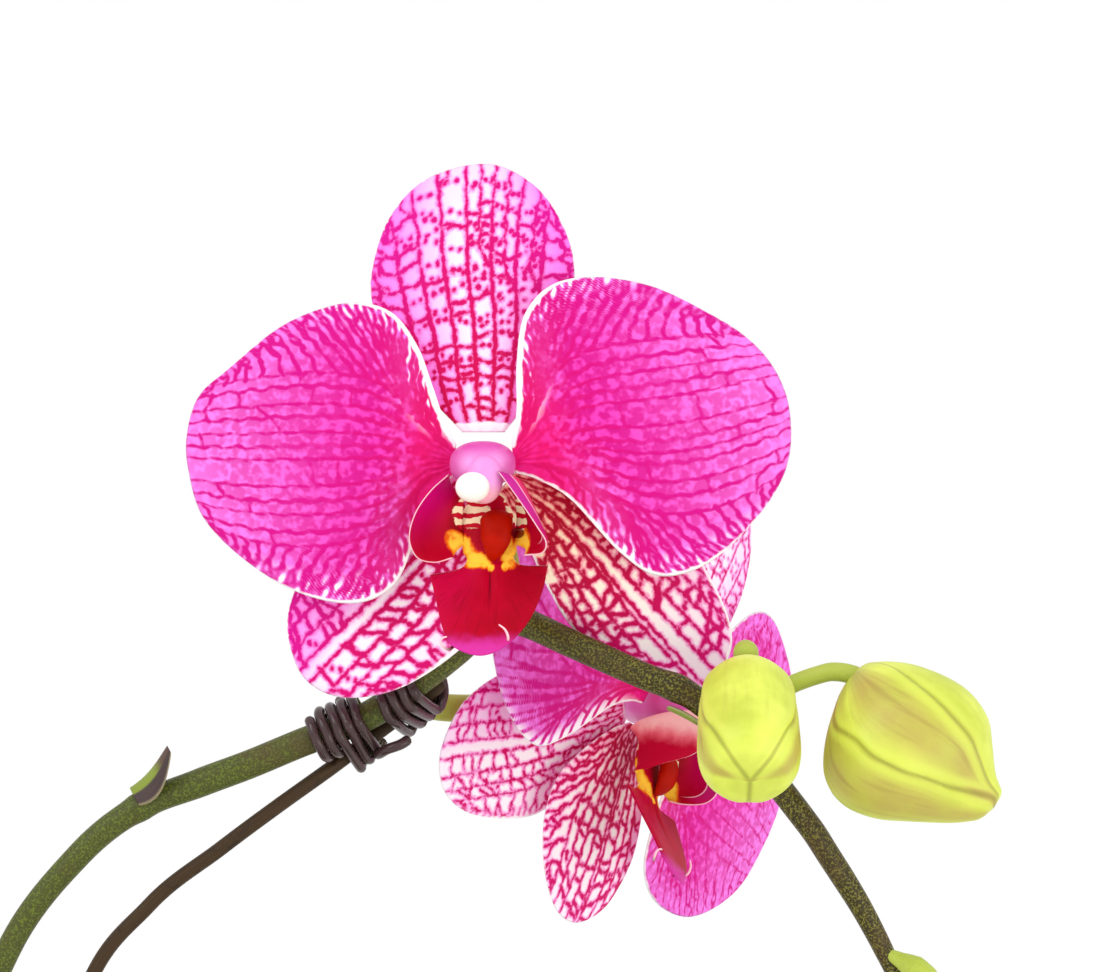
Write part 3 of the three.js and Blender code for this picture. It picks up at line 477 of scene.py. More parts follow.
def unit(vectors):
    """Vectors of the same directions and of length 1."""
    return vectors / np.linalg.norm(vectors, axis=-1, keepdims=True)


def round_body(path, first, second, side, **fields):
    """A body of rings along a path: first is each point's offset across the path and the side vector,
    second its offset along the side vector, both given as rings x sides."""
    run = unit(np.gradient(path, axis=0))
    across = unit(np.cross(run, side))
    along = np.cross(across, run)
    points = path[:, None] + first[..., None] * across[:, None] + second[..., None] * along[:, None]
    return rings(points, **fields)


def blunt(from_end, reach, least=0.002):
    """The share of its full width that a body has near an end: a quarter of a circle over its reach."""
    return np.sqrt(np.clip(1 - (1 - np.minimum(from_end / reach, 1)) ** 2, least, 1))


def crown():
    """Rings up the axis, wider along the fan, with the lapped feet of old leaves as a low stair."""
    t = np.linspace(0, 1, 70)[:, None]
    a = circle(48)
    lap = 0.05 * np.mod(t * 7 + 0.5 * np.round(a / np.pi), 1) + 0.015 * np.sin(9 * a + 20 * t)
    share = evenly(crown_shares, t) * blunt(1 - t, 0.07) * (0.97 - lap)
    path = curve([[0, 0, CROWN_FOOT], [0, 0, 116], [0, 0, CROWN_FOOT + CROWN_LENGTH]], t[:, 0])
    across, along = CROWN_HALF_DEPTH * share * np.cos(a), CROWN_HALF_WIDTH * share * np.sin(a)
    return round_body(path, across, along, fan_axis)


husk = Finish("leaf_foot", Roughness=0.6)
husk_streaks = husk.noise(700, 4, stretch=(1, 1, 0.08))
husk.colour = husk.mix(husk_streaks, tone(92, 112, 52), tone(150, 142, 92))
husk.coat(husk.step(husk.noise(110, 4), 0.5, 0.7), tone(96, 70, 44))
husk.wear(height=husk_streaks, depth=0.0006)
make_piece("crown_husk", [crown()], husk, "crown_stem")


# Leaves: five thick leathery straps in two ranks, up to 190 mm long and 68 mm wide. Each is folded
# along its midrib where it leaves the crown, and opens and droops towards a blunt tip.
# Every piece stands a hair's breadth, GAP, off the one that carries it, and twice that off the crown.
GAP = 0.3
UP = np.array([0, 0, 1.0])
LEAF_THICKNESS = 2.4
leaf_cuts = [
    {"side": 1, "height": 111, "length": 190, "width": 66, "rise": 26, "bend": 70, "turn": -8},
    {"side": -1, "height": 117, "length": 178, "width": 68, "rise": 30, "bend": 66, "turn": 6},
    {"side": 1, "height": 124, "length": 160, "width": 62, "rise": 44, "bend": 74, "turn": 9},
    {"side": -1, "height": 131, "length": 148, "width": 60, "rise": 50, "bend": 70, "turn": -7},
    {"side": 1, "height": 139, "length": 92, "width": 40, "rise": 66, "bend": 46, "turn": 2},
]


def sheet(front, back, **fields):
    """A closed sheet from two grids of points, rows x columns x 3, that share the points round their
    edge. The field under is 0 on the front and 1 on the back."""
    rows, columns = front.shape[:2]
    inner = np.zeros((rows, columns), bool)
    inner[1:-1, 1:-1] = True
    index = np.arange(rows * columns).reshape(rows, columns)
    below = index.copy()
    below[inner] = rows * columns + np.arange(inner.sum())
    faces = grid_faces(rows, columns)
    carried = {"under": np.r_[np.zeros(rows * columns), np.ones(inner.sum())]}
    for name, value in fields.items():
        value = np.broadcast_to(value, (rows, columns))
        carried[name] = np.r_[value.ravel(), value[inner]]
    return {"points": np.vstack([front.reshape(-1, 3), back[inner]]),
            "faces": [faces, below.ravel()[faces[:, ::-1]]], "fields": carried}


def grid(rows, columns, left=0, right=1):
    """Two tables of places: y from 0 to 1 over the rows, and x from left to right over the columns."""
    return np.meshgrid(np.linspace(0, 1, rows), np.linspace(left, right, columns), indexing="ij")


def leaf(side, height, length, width, rise, bend, turn):
    """A strap whose midrib is an arc of the given bend. Across it, the two halves rise from the midrib
    like an opened book, and the fold eases off towards the tip; the margins wave very slightly."""
    y, x = grid(68, 35, left=-1)
    outward = side * fan_axis @ upright_turn(turn)
    across = np.cross(UP, outward)
    radius = length / math.radians(bend)
    foot = CROWN_HALF_WIDTH * evenly(crown_shares, (height - CROWN_FOOT) / CROWN_LENGTH) + 2 * GAP
    foot += LEAF_THICKNESS / 2 * math.sin(math.radians(rise))
    half = width / 2 * (0.27 + 0.73 * np.sin(np.pi / 2 * np.minimum(y / 0.55, 1)))
    half = half * np.sqrt(1 - np.maximum(0, (y - 0.5) / 0.5) ** 2.6 * 0.997)
    slope = np.radians(rise - bend * y)
    first = math.radians(rise)
    b = x * half
    fold = (np.hypot(b, 3) - 3) * 0.42 * (1 - 0.75 * y)
    fold = fold + 0.5 * x ** 4 * np.sin(11 * y + 2 * side) * np.sin(np.pi * y)
    fold = fold - 0.5 * np.exp(-(b / 1.6) ** 2) * (1 - y)
    out = foot + radius * (math.sin(first) - np.sin(slope)) - fold * np.sin(slope)
    up = height + radius * (np.cos(slope) - math.cos(first)) + fold * np.cos(slope)
    middle = out[..., None] * outward + b[..., None] * across + up[..., None] * UP
    lift = -np.sin(slope)[..., None] * outward + np.cos(slope)[..., None] * UP
    thick = LEAF_THICKNESS / 2 * (1 - 0.55 * x ** 2) * np.sqrt(1 - np.abs(x) ** 24)
    lift = lift * thick[..., None]
    return sheet(middle + lift, middle - lift, along=y, lane=b)


blade = Finish("leaf_skin", Roughness=0.42, Specular_IOR_Level=0.45)
blade_lines = blade.noise(1.4, 3, place=blade.own_place(blade.field("lane"), blade.field("along"), long=6))
blade_cloud = blade.noise(28, 4)
blade.colour = blade.mix(blade_cloud, tone(34, 74, 28), tone(70, 116, 46))
blade.coat(blade.step(blade_lines, 0.5, 0.75, 0, 0.35), tone(96, 138, 62))
blade.coat(blade.step(blade.size(blade.field("lane")), 0.4, 1.8, 0.5, 0), tone(120, 152, 74))
blade.coat(blade.times(blade.field("under"), 0.75), tone(112, 138, 72))
blade.coat(blade.step(blade.field("along"), 0.12, 0, 0, 0.6), tone(150, 162, 96))
blade.wear(blade.step(blade_cloud, 0.3, 0.7, 0.34, 0.5), blade_lines, depth=0.0005, strength=0.35)
for k, cut in enumerate(leaf_cuts, 1):
    make_piece(f"leaf_blade_{k}", [leaf(**cut)], blade, f"leaf_{k}")


# Roots: thick round air roots with a silvery spongy skin, 4.6 mm across. Four of them dive into the
# bark and two hang out over the rim, and the growing tips of those two are bare and green.
ROOT_RADIUS = 2.3
root_runs = [
    {"angle": -126, "reach": 30}, {"angle": -60, "reach": 36}, {"angle": 74, "reach": 33},
    {"angle": 140, "reach": 38}, {"angle": -93, "hang": 52}, {"angle": 108, "hang": 38},
]


def tube(points, radii, side, count, sides, **fields):
    """A round stalk along a smooth curve, with its radius given at evenly spaced places and with its
    ends rounded over."""
    t = (1 - np.cos(np.linspace(0, np.pi, 9)))[:5] * 0.5
    t = np.r_[t * 8 / count, np.linspace(4 / count, 1 - 4 / count, count)[1:-1], (1 - t * 8 / count)[::-1]]
    path = curve(points, t)
    angle = circle(sides)
    radius = evenly(radii, t)
    from_end = np.minimum(t, 1 - t) * run_length(path)[-1]
    radius = (radius * blunt(from_end / np.maximum(radius, 1e-6), 0.7, 0.0004))[:, None]
    return round_body(path, radius * np.cos(angle), radius * np.sin(angle), side,
                      along=t[:, None], around=angle / (2 * np.pi), **fields)


def root(angle, reach=None, hang=None):
    """A tube from the crown, outwards and down, that swells and thins a little along its way."""
    c, s = cos_sin(angle - FAN_TURN)
    foot = 1 / math.hypot(c / CROWN_HALF_WIDTH, s / CROWN_HALF_DEPTH) + 2 * GAP
    rim = POT_RIM_RADIUS + GAP + ROOT_RADIUS
    if hang:
        run = [(foot, 113.4), (foot + 3, 113.5), (24, 114.6), (40, 117.2), (54, 118.4), (62, 118.6),
               (rim - 0.8, 115.8), (rim + 0.5, 109), (rim + 0.8, POT_HEIGHT - hang / 2),
               (rim, POT_HEIGHT - hang)]
    else:
        run = [(foot, 106.2), (foot + 3, 106.4), (0.6 * reach, 108), (0.84 * reach, 107), (reach, 101),
               (reach + 2, 88)]
    r, z = np.array(run).T
    k = np.arange(len(run))
    a = np.radians(angle + np.where(k > 2, 2.5 * np.sin(k * 1.7), 0))
    points = np.stack([r * np.cos(a), r * np.sin(a), z], 1)
    swell = 1 + 0.05 * np.sin(np.arange(25) * 2.1 + angle) * np.linspace(0.3, 1, 25)
    radii = evenly([1.05, 1.1, 1, 1, 0.95, 0.9, 0.7], np.linspace(0, 1, 25)) * swell * ROOT_RADIUS
    c, s = cos_sin(angle)
    shell = tube(points, radii, (-s, c, 0), 120 if hang else 80, 20)
    shell["fields"]["tip"] = shell["fields"]["along"] * (1.0 if hang else 0.5)
    return shell


velamen = Finish("root_skin", Roughness=0.8)
velamen_cloud = velamen.noise(320, 5)
velamen.colour = velamen.mix(velamen_cloud, tone(128, 138, 108), tone(186, 192, 170))
velamen.coat(velamen.step(velamen.noise(90, 3), 0.5, 0.7, 0, 0.6), tone(112, 128, 84))
velamen.coat(velamen.step(velamen.field("tip"), 0.86, 0.95), tone(124, 146, 56))
velamen.wear(height=velamen_cloud, depth=0.0006, strength=0.6)
for k, run in enumerate(root_runs, 1):
    make_piece(f"air_root_{k}", [root(**run)], velamen, f"root_{k}")


# Stake: a split cane rod 2.5 mm thick, stained brown. It stands in the bark and is bent over with the
# flower stem, and it ends behind the second tie.
STAKE_RADIUS = 1.25
stake_path = [
    [17, -17, 66], [17, -16.5, 150], [17, -15.5, 220], [19.5, -14, 275], [29, -11.8, 316], [40, -10, 331.5],
    [51.8, -8.5, 340.8], [61, -7, 347.6], [70.3, -5.2, 354.2], [77, -3.6, 359.2], [84, -3.2, 364.4],
    [89.4, -3.6, 368.8],
]
cane = Finish("stained_cane", Roughness=0.5, Specular_IOR_Level=0.2)
cane_streaks = cane.noise(2.2, 5, place=cane.own_place(cane.field("around"), cane.field("along"), 9, 16))
cane.colour = cane.mix(cane_streaks, tone(40, 27, 14), tone(76, 55, 29))
cane.coat(cane.step(cane.noise(500, 3), 0.55, 0.7, 0, 0.5), tone(34, 24, 16))
cane.wear(height=cane_streaks, depth=0.0003, strength=0.5)
make_piece("cane_stake", [tube(stake_path, [STAKE_RADIUS], (0, 1, 0), 260, 18)], cane, "stake")


# Flower stem: a tough olive-green stem 4.4 mm thick that leaves the crown between the leaves, leans on
# the stake and arches over. It swells in a low ring at each of its four joints. The stalks of the flowers
# and buds grow from it, and two green tip buds end it.
SPIKE_RADIUS = 2.2
STALK_RADIUS = 1.5
BACK = (0, 1, 0)
RIGHT = (1, 0, 0)
out_of_fan = np.array([fan_axis[1], -fan_axis[0]])
spike_path = [
    *[[*out_of_fan * distance, z] for distance, z in ((6.6, 121), (9.6, 121.2), (12.6, 126), (13.4, 145))],
    [2, -13, 185], [0.5, -13, 225], [2, -13, 265], [8, -12.8, 300], [17, -12.3, 325],
    [28.3, -12, 340], [38.2, -10.8, 347.9], [48.4, -9.6, 352], [56.8, -8.8, 355.1], [65.3, -8.1, 358.6],
    [72.4, -7.7, 361.3], [79.5, -7.6, 364.9], [90.6, -9.5, 373.4], [95.7, -11.5, 377.9],
    [99.5, -13.2, 379.8], [103.6, -15.6, 379.1], [112, -19.3, 375.4], [122.3, -21.5, 370.9],
    [131, -22.5, 367.2], [139.6, -21.5, 359.2], [149.7, -19, 346.6], [153.6, -18, 340.8],
    [160, -16, 330.5], [165.6, -13.4, 319], [167.6, -11.4, 310.5],
]
spike_radii = [1.1, 1.08, 1.05, 1.05, 1, 1, 1, 1, 1, 1.05, 1, 1, 0.95, 0.95, 0.95, 0.95, 1, 1.12, 1.1, 1.12,
               1.16, 1.12, 1.05, 1, 0.95, 0.95, 0.9, 0.75, 0.4]
spike_joints = [0.225, 0.44, 0.58, 0.826]
stalk_runs = [
    {"points": [[99.5, -13.4, 379.5], [101, -11.2, 384], [100.4, -10, 391], [98.4, -10.4, 399],
                [96.9, -12.6, 404.6], [96.5, -16.7, 406]],
     "radii": [1.35, 1.1, 1, 1, 1.15, 1.5], "side": RIGHT},
    {"points": [[78.8, -7.6, 364.3], [79, -4, 365.2], [79.2, 1.2, 366], [81.8, 5.2, 365.4], [87, 6.6, 364],
                [92, 8.4, 363.5], [98, 14, 363.4], [106, 24.5, 363.6], [112, 33.5, 363.9],
                [118.2, 39.1, 363.8], [121.5, 37.1, 363.3]],
     "radii": [1.2, 1.3, 1.5, 1.6, 1.6, 1.55, 1.3, 1.15, 1.1, 1.1, 1.3], "side": UP},
    {"points": [[140.3, -21.3, 358.6], [141.6, -17.5, 363], [140.8, -16.6, 369], [139.6, -20, 373.4],
                [139.3, -26.5, 374.8], [139.3, -30.5, 374.9], [139.3, -31.7, 373.6]],
     "radii": [1.3, 1.1, 1, 1, 1.1, 1.5], "side": RIGHT},
    {"points": [[137.6, -22, 361.6], [141.5, -25.2, 366.2], [146.7, -27.4, 369.4], [151.6, -28.8, 371.3],
                [154.2, -29.4, 371.7], [157.4, -30, 371], [160, -30.6, 369]],
     "radii": [1.3, 1.1, 1, 1, 1, 1.05, 1], "side": BACK},
]
tip_buds = [
    {"points": [[166.4, -12.8, 316], [168.2, -11, 309.5], [168, -11.3, 302]], "radius": 3},
    {"points": [[163.2, -14.7, 324.3], [168.3, -17.2, 321.6], [172.5, -18.8, 318.2]], "radius": 2.2},
]


def spike():
    """The stem as a tube whose radius swells in a low ring at each joint, its stalks and its tip buds.
    The field fresh is 0 on the old stem and 1 on the young green stalks and tips."""
    share = np.linspace(0, 1, 400)
    swell = 1 + 0.13 * np.exp(-((share[:, None] - spike_joints) / 0.004) ** 2).sum(1)
    shells = [tube(spike_path, evenly(spike_radii, share) * swell * SPIKE_RADIUS, BACK, 420, 18, fresh=0.0)]
    for run in stalk_runs:
        radii = np.array(run["radii"]) * STALK_RADIUS
        shells.append(tube(run["points"], radii, run["side"], 70, 18, fresh=0.85))
    for bud in tip_buds:
        radii = np.array([0.35, 0.6, 1, 0.9, 0.3]) * bud["radius"]
        shells.append(tube(bud["points"], radii, BACK, 40, 18, fresh=1.0))
    return shells


stem = Finish("stem_skin", Roughness=0.45, Specular_IOR_Level=0.25)
stem_speckle = stem.noise(2700, 3)
stem_cloud = stem.noise(130, 3)
stem_age = stem.step(stem.field("along"), 0.66, 0.84)
stem.colour = stem.mix(stem_age, tone(96, 110, 34), tone(124, 118, 46))
stem.coat(stem.step(stem_speckle, 0.36, 0.54), stem.mix(stem_age, tone(70, 74, 26), tone(54, 46, 18)))
stem.coat(stem.step(stem_cloud, 0.45, 0.7, 0, 0.5), tone(80, 58, 34))
stem.coat(stem.field("fresh"), stem.mix(stem_cloud, tone(166, 186, 62), tone(196, 206, 92)))
stem.wear(height=stem_speckle, depth=0.0002, strength=0.4)
make_piece("orchid_stem", spike(), stem, "flower_spike")


# Scales: a small leaf that half clasps the stem at three of its joints. It has dried to a dark brown
# paper with a pale rim, and the foot of it is still green along one side.
SCALE_THICKNESS = 0.6
scale_cuts = [
    {"node": "bract_1", "share": 0.58, "length": 9, "width": 9.5, "lean": 4.4, "sink": 0.4,
     "face": (-0.5, -0.6, 0.6)},
    {"node": "bract_2", "share": 0.826, "length": 8.6, "width": 4.2, "lean": 0.9, "sink": 0.85,
     "face": (-0.6, 0, -0.8)},
    {"node": "bract_3", "share": 0.225, "length": 11, "width": 5, "lean": 0.9, "sink": 0.3,
     "face": (0, -1, 0.1)},
]


def scale(share, length, width, lean, sink, face):
    """A blade along the stem. It is width times 0.55 + 0.75 y - 1.1 y^2 wide, its middle leans off the
    stem towards the tip and its sides curve round the stem."""
    y, x = grid(40, 25, -0.5, 0.5)
    near = curve(spike_path, [share - 0.001, share, share + 0.001])
    along = unit(near[2] - near[0])
    across = unit(np.cross(along, face))
    outward = np.cross(across, along)
    clear = evenly(spike_radii, share) * SPIKE_RADIUS + GAP + SCALE_THICKNESS / 2 + sink
    b = x * width * (0.55 + 0.75 * y - 1.1 * y * y)
    rise = clear + lean * y * y - 1.2 * b * b / width
    middle = near[1] + (y * length)[..., None] * along + b[..., None] * across + rise[..., None] * outward
    thick = (SCALE_THICKNESS / 2 * np.sqrt(1 - (2 * np.abs(x)) ** 10))[..., None] * outward
    return sheet(middle + thick, middle - thick, along=y, across=2 * x, lane=b)


paper = Finish("dry_scale", Roughness=0.6)
paper_lines = paper.noise(3.0, 3, place=paper.own_place(paper.field("lane"), paper.field("along")))
paper.colour = paper.mix(paper_lines, tone(42, 26, 28), tone(72, 50, 48))
paper_green = paper.mix(paper.step(paper.field("along"), 0.5, 0.8), tone(126, 142, 34), tone(82, 54, 40))
paper.coat(paper.step(paper.field("across"), 0.35, 0.15), paper_green)
paper.coat(paper.step(paper.size(paper.field("across")), 0.88, 1, 0, 0.8), tone(168, 156, 120))
paper.wear(height=paper_lines, depth=0.0003)
for cut in scale_cuts:
    node = cut.pop("node")
    make_piece(node.replace("bract", "stem_scale"), [scale(**cut)], paper, node)


# Ties: soft wire in a dark brown sleeve, 1.8 mm thick, wound about four times round the stem and the
# stake. The first tie starts with two turns round the stem alone and has its last end tucked in.
WIRE_RADIUS = 0.9
LOOP_POINTS = 12
LOOP_SLACK = 0.5
tie_runs = [
    {"node": "tie_1", "start": 68, "loops": 4.5, "alone": 2, "pitch": 1.95, "tilt": 0.5,
     "tail": [[78.2, -5.6, 356.6], [80, -8.4, 357.6], [82.2, -8.6, 358.4], [83.8, -7.8, 359.4]]},
    {"node": "tie_2", "start": 80.6, "loops": 4, "alone": 0, "pitch": 1.95, "tilt": 1.6, "tail": []},
]
stem_line = curve(spike_path, np.linspace(0, 1, 1600))
stake_line = curve(stake_path, np.linspace(0, 1, 1000))


def nearest(line, points):
    """For each point, the point of the line that is nearest to it."""
    return line[np.linalg.norm(line[None] - points[:, None], axis=2).argmin(1)]


def winding(start, loops, alone, pitch, tilt, tail):
    """The path of a tie: a circle round the stem that turns into one round the stake on the stake's
    side, carried along the stem by the pitch, with each turn leaning by the tilt."""
    first = stem_line[np.abs(stem_line[:, 0] - start).argmin()]
    ahead = stem_line[np.abs(stem_line[:, 0] - start - pitch * loops).argmin()]
    along = unit(ahead - first)
    turn = np.arange(int(loops * LOOP_POINTS) + 1) / LOOP_POINTS
    on_stem = nearest(stem_line, first + along * (pitch * turn)[:, None])
    on_stake = nearest(stake_line, on_stem)
    towards = on_stake - on_stem
    towards = unit(towards - (towards @ along)[:, None] * along)
    across = np.cross(along, towards)
    angle = 2 * np.pi * turn + np.pi
    round_stake = ((np.cos(angle) > 0) & (turn >= alone))[:, None]
    middle = np.where(round_stake, on_stake, on_stem)
    radius = np.where(round_stake, STAKE_RADIUS, SPIKE_RADIUS) + GAP + LOOP_SLACK + WIRE_RADIUS
    angle = angle[:, None]
    points = middle + radius * (np.cos(angle) * towards + np.sin(angle) * across)
    points = points + tilt * np.sin(angle) * along
    return np.vstack([points, tail]) if tail else points


sleeve = Finish("wire_sleeve", Roughness=0.2, Specular_IOR_Level=0.4)
sleeve.colour = sleeve.mix(sleeve.noise(300, 3), tone(44, 26, 28), tone(76, 54, 54))
sleeve.wear(height=sleeve.noise(1500, 2), depth=0.0001, strength=0.3)
for run in tie_runs:
    node = run.pop("node")
    path = winding(**run)
    coils = tube(path, [WIRE_RADIUS], (0.3, 0.9, 0.2), 9 * len(path), 12)
    make_piece(f"wire_{node}", [coils], sleeve, node)


# Buds: two large yellow-green buds on short stalks, 25 and 31 mm long, each closed by its own sepals,
# whose edges meet in low seams.
bud_cuts = [
    {"node": "bud_1", "start": [139.3, -32.1, 373.2], "end": [139, -49.1, 355.4],
     "above": [2, 5, 7, 7.9, 8.3, 8.5, 8.6, 8.7, 8.6, 7.9, 5.8],
     "below": [2, 5, 7, 7.9, 8.3, 8.5, 8.6, 8.7, 8.6, 7.9, 5.8], "depth": 0.95, "side": RIGHT,
     "seams": [(-76, -74, -70, -62, -44, -30), (74, 70, 68, 60, 42, 30), (180, 180, 180)],
     "steps": (0.8, -0.8, 0), "dips": (0.5, 0.5, 1.5), "tan": [(-70, 12), (68, 13)]},
    {"node": "bud_2", "start": [156.8, -30, 371.6], "end": [180.4, -36, 351.8],
     "above": [2, 5, 7.1, 8.4, 9.3, 9.7, 9.3, 8, 5.1, 2.1, 0.3],
     "below": [3, 10.4, 15, 17, 17.5, 16.8, 15.3, 13, 10.6, 8, 4.6], "depth": 0.85, "side": BACK,
     "seams": [(-15, -37, -47, -53, -52, -46), (-160, -113, -108, -106, -98, -60), (80, 80, 80)],
     "steps": (-0.5, 0.9, 0), "dips": (0.3, 0.3, 0.3), "tan": [(-74, 22), (-138, 26)]},
]


def smoothly(values, t):
    """The value at share t of evenly spaced values, along a smooth curve through them."""
    line = curve(np.stack([np.arange(len(values)), values], 1), np.linspace(0, 1, 400))
    return np.interp(t * (len(values) - 1), line[:, 0], line[:, 1])


def bud(start, end, above, below, depth, side, seams, steps, dips, tan):
    """Rings along the bud's axis, reaching by above to one side and by below to the other. Each seam is
    a list of angles from stalk to tip. The surface dips into it by its dip, and the sepal on one side of
    it stands higher by its step. The field tan marks the brownish flanks, given by their middle angle
    and half width in degrees."""
    t = np.linspace(0, 1, 94)
    a = circle(144)
    fade = blunt(np.minimum(t, 1 - t), 0.03, 0.003)
    half = (smoothly(above, t) + smoothly(below, t)) / 2 * fade
    shift = (smoothly(above, t) - smoothly(below, t)) / 2
    path = np.asarray(start) + (np.asarray(end) - start) * t[:, None]
    seam = np.full((len(t), len(a)), 9.0)
    dip = np.zeros_like(seam)
    for angles, step, deep in zip(seams, steps, dips):
        turn = a - np.radians(smoothly(angles, t))[:, None]
        off = (np.mod(turn + np.pi, 2 * np.pi) - np.pi) * half[:, None]
        seam = np.minimum(seam, np.abs(off))
        higher = np.clip(0.5 + np.sign(step) * off / 0.7, 0, 1)
        dip += deep * np.exp(-(off / (0.3 + 0.7 * deep)) ** 2) - abs(step) * np.exp(-np.abs(off) / 3) * higher
    size = half[:, None] - dip * fade[:, None] * np.clip(4 * t * (1.03 - t), 0, 1)[:, None]
    middle, wide = np.radians(tan).T[..., None]
    off = np.abs(np.mod(a - middle + np.pi, 2 * np.pi) - np.pi) / wide
    flank = np.clip(1.4 - off.min(0), 0, 1)[None] * np.ones((len(t), 1))
    return round_body(path, size * np.cos(a) + shift[:, None], size * depth * np.sin(a), side,
                      along=t[:, None], seam=seam, tan=flank, around=a / (2 * np.pi))


bud_skin = Finish("bud_skin", Roughness=0.45, Specular_IOR_Level=0.4)
bud_cloud = bud_skin.noise(110, 4)
along, tan, seam = [bud_skin.field(name) for name in ("along", "tan", "seam")]
bud_lines = bud_skin.noise(1.0, 4, place=bud_skin.own_place(bud_skin.field("around"), along, 44, 2.2))
bud_lines = bud_skin.less(bud_lines, bud_skin.step(along, 0.7, 0.95, 0, 0.12))
bud_skin.colour = bud_skin.mix(bud_skin.step(bud_cloud, 0.3, 0.7), tone(194, 206, 66), tone(224, 236, 94))
bud_skin.coat(bud_skin.times(tan, bud_skin.step(bud_cloud, 0.3, 0.6, 0.4, 0.85)), tone(180, 160, 76))
bud_lines = bud_skin.times(bud_skin.step(bud_lines, 0.48, 0.7), bud_skin.step(tan, 0, 1, 0.12, 0.5))
bud_skin.coat(bud_lines, tone(160, 134, 62))
# Painted highlight: a bright yellow-green band on both sides of every seam, where the raised sepal edges
# catch the light.
ridge = bud_skin.times(bud_skin.step(seam, 3, 1.4), bud_skin.step(seam, 0.5, 1.1, 0, 0.7))
bud_skin.coat(ridge, tone(212, 222, 86))
# Painted shade: a dark line down the middle of each seam, in the crease where the sepals meet.
bud_skin.coat(bud_skin.step(seam, 0.7, 0.05, 0, 0.5), tone(128, 116, 40))
bud_skin.coat(bud_skin.step(along, 0.1, 0, 0, 0.5), tone(170, 178, 84))
bud_skin.wear(height=bud_skin.noise(900, 3), depth=0.0002, strength=0.3)
for cut in bud_cuts:
    node = cut.pop("node")
    make_piece(node.replace("bud", "closed_bud"), [bud(**cut)], bud_skin, node)


# Flowers: two open flowers about 100 mm across. Each stands on its own stalk and is built in a frame of
# its own: x to the right, y up and z out of its face, with the origin in the middle of the flower.
flower_seats = {
    "flower_1": {"centre": (96.5, -22, 406), "yaw": 0, "pitch": 0, "roll": 0},
    "flower_2": {"centre": (126.3, 34, 362.5), "yaw": 57.1, "pitch": 7.9, "roll": -29.5},
}


def seated(points, centre, yaw, pitch, roll):
    """Points of a flower's own frame, rolled, pitched and yawed and set at the flower's centre."""
    (cy, sy), (cp, sp), (cr, sr) = cos_sin(yaw), cos_sin(pitch), cos_sin(roll)
    yawed = np.array([[cy, 0, sy], [0, 1, 0], [-sy, 0, cy]])
    pitched = np.array([[1, 0, 0], [0, cp, -sp], [0, sp, cp]])
    rolled = np.array([[cr, -sr, 0], [sr, cr, 0], [0, 0, 1]])
    x, y, z = np.moveaxis(points @ (yawed @ pitched @ rolled).T, -1, 0)
    return np.stack([x, -z, y], -1) + centre


# Sepals and petals: thin soft blades of 0.5 mm, three narrow sepals and two broad petals to a flower,
# netted all over with crimson and magenta veins on a white to pink ground.
BASE_RADIUS = 4.5
TEPAL_THICKNESS = 0.5
TEPAL_EDGE = 0.6
RIDGE = 0.06
SIDE_SHARE = 0.37
FAR_SHARE = 1 - 2 * SIDE_SHARE
outlines = {
    "dorsal_sepal": [
        [-3.6, 4.9], [-9.7, 11.5], [-15.5, 19.5], [-18.7, 27], [-18.2, 34], [-15.6, 41], [-10.6, 46.5],
        [-4, 49.2], [2.6, 49.3], [9.2, 45.2], [13.5, 38.3], [15, 31], [13.6, 21], [8.4, 11.5], [3.4, 4.9]],
    "petal_left": [
        [-4.5, 2.8], [-6.2, 6], [-8.4, 12.5], [-11, 19.3], [-15.5, 24.8], [-22.9, 26.1], [-32.8, 22.6],
        [-41.9, 15.5], [-47.2, 10.8], [-49.2, 4.5], [-48.9, -1.5], [-46.4, -9.2], [-39.4, -16.2],
        [-30.4, -21.5], [-21.3, -23.3], [-15, -20.6], [-11.9, -14.5], [-10, -7.5], [-5, -2.3]],
    "petal_right": [
        [4.6, 2.8], [5.4, 8.6], [5.4, 16], [6.6, 24], [11, 29], [18, 30.4], [27.4, 29], [36.5, 24.8],
        [43.1, 20.8], [48, 15.5], [50.6, 8.5], [50.2, -0.5], [45.5, -8.7], [37.3, -16.5], [29, -18.8],
        [22.4, -14.9], [14.5, -6.4], [9, -3], [5.1, -1.8]],
    "lateral_sepal_left": [
        [-5.4, -2.2], [-13, -5], [-22, -10], [-29, -16.5], [-32.6, -25], [-32, -32], [-29, -37],
        [-22.9, -39.3], [-13.9, -37.6], [-4.8, -31.8], [0, -26], [1.4, -18], [0.8, -10], [-0.6, -5.2]],
    "lateral_sepal_right": [
        [5.2, -1.6], [14, -1.6], [24, -4.8], [32, -10.5], [37, -18], [40.8, -26], [41.1, -32], [37.5, -37.6],
        [31, -37.6], [22, -33], [15, -28], [10.6, -21.1], [7, -13.5], [3.6, -8.2], [2.2, -5]],
}
